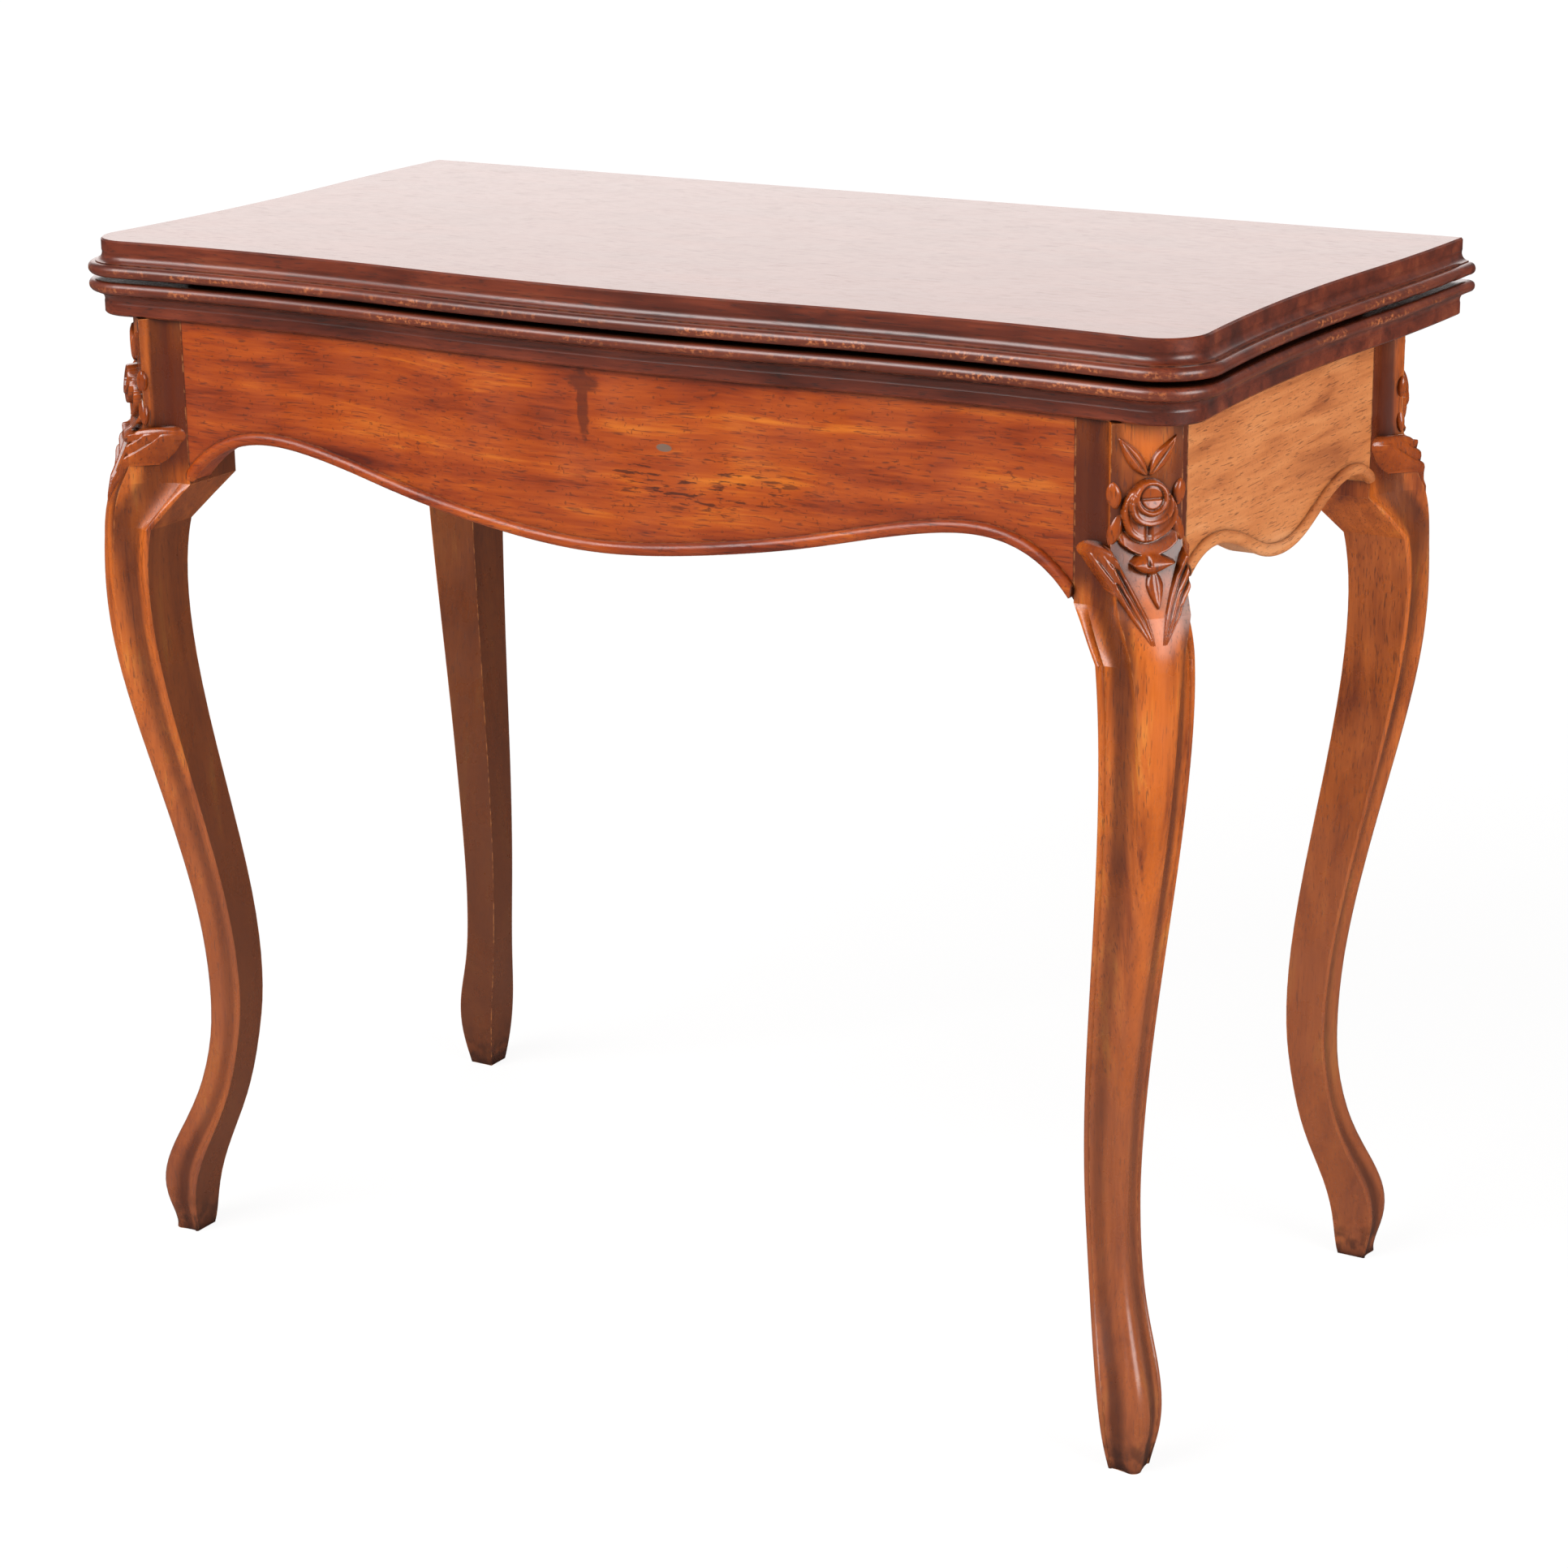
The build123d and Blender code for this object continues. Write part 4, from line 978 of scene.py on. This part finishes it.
def carve(leg_name):
    """A relief grid and four small leaves for one leg."""
    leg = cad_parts[leg_name]
    side_x = 1 if "right" in leg_name else -1
    side_y = 1 if "back" in leg_name else -1
    out = Vector((side_x, side_y, 0)).normalized()
    across = Vector((0, 0, 1)).cross(out)
    centre = Vector((side_x * leg_centre_x, side_y * leg_centre_y, 0))

    def spot(u_at, out_at, z_at):
        """A place on this knee, from its breadth, its depth and its height."""
        return centre + out * (out_at * MM) + across * (u_at * MM) + Vector((0, 0, z_at * MM))

    shape = bmesh.new()
    shape.from_mesh(leg.data)
    tree = BVHTree.FromBMesh(shape)
    shape.free()
    us = np.arange(-face_half, face_half + grid_step / 2, grid_step)
    zs = np.arange(knee_low_z, knee_high_z + grid_step / 2, grid_step)
    u, z = np.meshgrid(us, zs)
    height = smooth(knee_height(u, z), 1)
    ground = np.zeros_like(height)
    for i in range(u.shape[0]):
        for j in range(u.shape[1]):
            hit = tree.ray_cast(spot(u[i, j], ray_start, z[i, j]), -out)[0]
            ground[i, j] = (hit - centre).dot(out) / MM if hit else np.nan
    ground = np.where(np.isnan(ground), np.nanmin(ground), ground)
    raised = np.clip(height / full_over, 0, 1)
    bridged = np.array([stretched_over(row_u, row_s) for row_u, row_s in zip(u, ground)])
    ground = ground + (bridged - ground) * raised * bridge_share
    level = ground + height - sink * (1 - raised) + ground_proud * raised
    verts = [
        tuple(spot(u[i, j], level[i, j], z[i, j]))
        for i in range(u.shape[0])
        for j in range(u.shape[1])
    ]
    columns = u.shape[1]
    kept = height > kept_over
    faces = []
    for i in range(u.shape[0] - 1):
        for j in range(columns - 1):
            if kept[i : i + 2, j : j + 2].any():
                a = i * columns + j
                faces.append((a, a + 1, a + columns + 1, a + columns))
    mesh = bpy.data.meshes.new("carving_" + leg_name)
    mesh.from_pydata(verts, [], faces)
    tidy = bmesh.new()
    for hand in (-1, 1):
        for place, half, lean in small_leaves:
            small_leaf(tidy, hand, place, half, lean)
    for vert in tidy.verts:
        vert.co = spot(*vert.co)
    tidy.from_mesh(mesh)
    bmesh.ops.delete(tidy, geom=[v for v in tidy.verts if not v.link_faces], context="VERTS")
    bmesh.ops.recalc_face_normals(tidy, faces=tidy.faces)
    tidy.to_mesh(mesh)
    tidy.free()
    mesh.shade_smooth()
    mesh.materials.append(carved_wood)
    relief = bpy.data.objects.new("carving_" + leg_name, mesh)
    bpy.context.scene.collection.objects.link(relief)
    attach(relief, "frame")
    return relief


for name in legs:
    made = carve(name)
    print(made.name, len(made.data.polygons), "faces")

# %% [markdown]
# ## Floor and light
# A plain pale floor that fades into a white surround, and large soft lamps: one from the front
# left, one from the right, and a wide one behind, which the polished top mirrors. The polish sees
# a darker floor and surround than the camera does, as it would in a studio with dark walls.

# %% Floor and surround
floor_half = 14.0
floor_glow = 1.04
glow_share_near = 0.86
glow_share_more = 0.14
glow_from = 1.0
glow_to = 3.2
surround_light = 0.36
surround_seen_more = 0.64
surround_mirrored_less = -0.22
floor_mesh = bpy.data.meshes.new("studio_floor")
corners = [(-floor_half, -floor_half, 0), (floor_half, -floor_half, 0)]
corners += [(floor_half, floor_half, 0), (-floor_half, floor_half, 0)]
floor_mesh.from_pydata(corners, [], [(0, 1, 2, 3)])
floor = bpy.data.objects.new("studio_floor", floor_mesh)
bpy.context.scene.collection.objects.link(floor)


def floor_paint():
    """Matt white paint that the camera sees nearly white, with the table's soft shadow kept."""
    material = bpy.data.materials.new("floor_matt_white")
    material.use_nodes = True
    tree = material.node_tree
    tree.nodes.clear()
    path = add(tree, "ShaderNodeLightPath")
    mirrored = path.outputs["Is Glossy Ray"]
    tone = blend_colour(tree, mirrored, srgb("#F4F3F2"), srgb("#6E6C6A"))
    paint = add(tree, "ShaderNodeBsdfDiffuse", inputs={"Color": tone})
    glow = add(tree, "ShaderNodeEmission", inputs={"Color": (1, 1, 1, 1), "Strength": floor_glow})
    place = add(tree, "ShaderNodeTexCoord").outputs["Object"]
    away = add(tree, "ShaderNodeVectorMath", {"operation": "LENGTH"}, {0: place}).outputs["Value"]
    far = sums(tree, "MULTIPLY", reach(tree, away, glow_from, glow_to), glow_share_more)
    share = sums(tree, "ADD", far, glow_share_near)
    share = sums(tree, "MULTIPLY", path.outputs["Is Camera Ray"], share)
    mixed = add(
        tree,
        "ShaderNodeMixShader",
        inputs={0: share, 1: paint.outputs[0], 2: glow.outputs[0]},
    )
    add(tree, "ShaderNodeOutputMaterial", inputs={"Surface": mixed.outputs[0]})
    return material


floor_mesh.materials.append(floor_paint())
world = bpy.data.worlds.new("studio_white")
bpy.context.scene.world = world
world.use_nodes = True
world.node_tree.nodes.clear()
sky = world.node_tree
light_path = add(sky, "ShaderNodeLightPath")
seen = sums(sky, "MULTIPLY", light_path.outputs["Is Camera Ray"], surround_seen_more)
mirrored = sums(sky, "MULTIPLY", light_path.outputs["Is Glossy Ray"], surround_mirrored_less)
strength = sums(sky, "ADD", sums(sky, "ADD", seen, mirrored), surround_light)
surround = add(
    sky, "ShaderNodeBackground", inputs={"Color": (1, 1, 1, 1), "Strength": strength}
)
add(sky, "ShaderNodeOutputWorld", inputs={"Surface": surround.outputs[0]})
print("floor is", 2 * floor_half, "m across")

# %% Lamps


def softbox(name, place, target, size, watts, colour=(1.0, 1.0, 1.0)):
    """A large soft lamp that faces a target."""
    lamp = bpy.data.lights.new(name, "AREA")
    lamp.shape = "RECTANGLE"
    lamp.size, lamp.size_y = size
    lamp.energy = watts
    lamp.color = colour
    holder = bpy.data.objects.new(name, lamp)
    holder.location = place
    aim = Vector(target) - Vector(place)
    holder.rotation_euler = aim.to_track_quat("-Z", "Y").to_euler()
    holder.visible_camera = False
    bpy.context.scene.collection.objects.link(holder)
    return holder


middle = (0.0, 0.0, 0.45)
softbox("key_front_left", (-1.2, -2.5, 2.7), middle, (2.5, 1.8), 106)
softbox("fill_right", (3.0, -0.7, 1.7), middle, (1.9, 1.6), 62)
softbox("wide_back", (-1.55, 2.75, 1.45), (0.0, 0.0, 0.75), (4.6, 1.7), 31, (1.0, 0.915, 0.895))

# %% [markdown]
# ## Camera
# The photograph was taken from the right of the front, a little above the top. The lens and place
# come from the table's own lines in the photograph.

# %% Camera
camera_place = Vector((1.3382, -2.1912, 1.1639))
camera_turn = math.radians(31.06)
camera_rise = math.radians(17.47)
camera_roll = math.radians(-0.726)
photo_width = 1932
focal_pixels = 4598.3
sensor = 36.0

back = Vector(
    (
        math.sin(camera_turn) * math.cos(camera_rise),
        -math.cos(camera_turn) * math.cos(camera_rise),
        math.sin(camera_rise),
    )
)
right = Vector((math.cos(camera_turn), math.sin(camera_turn), 0))
up = back.cross(right)
rolled_right = math.cos(camera_roll) * right + math.sin(camera_roll) * up
rolled_up = -math.sin(camera_roll) * right + math.cos(camera_roll) * up
lens = bpy.data.cameras.new("camera")
lens.sensor_width = sensor
lens.lens = sensor * focal_pixels / photo_width
camera = bpy.data.objects.new("camera", lens)
camera.matrix_world = Matrix.Translation(camera_place) @ Matrix(
    (rolled_right, rolled_up, back)
).transposed().to_4x4()
bpy.context.scene.collection.objects.link(camera)
bpy.context.scene.camera = camera
bpy.context.scene.view_settings.view_transform = "Standard"
print("lens", round(lens.lens, 1), "mm")
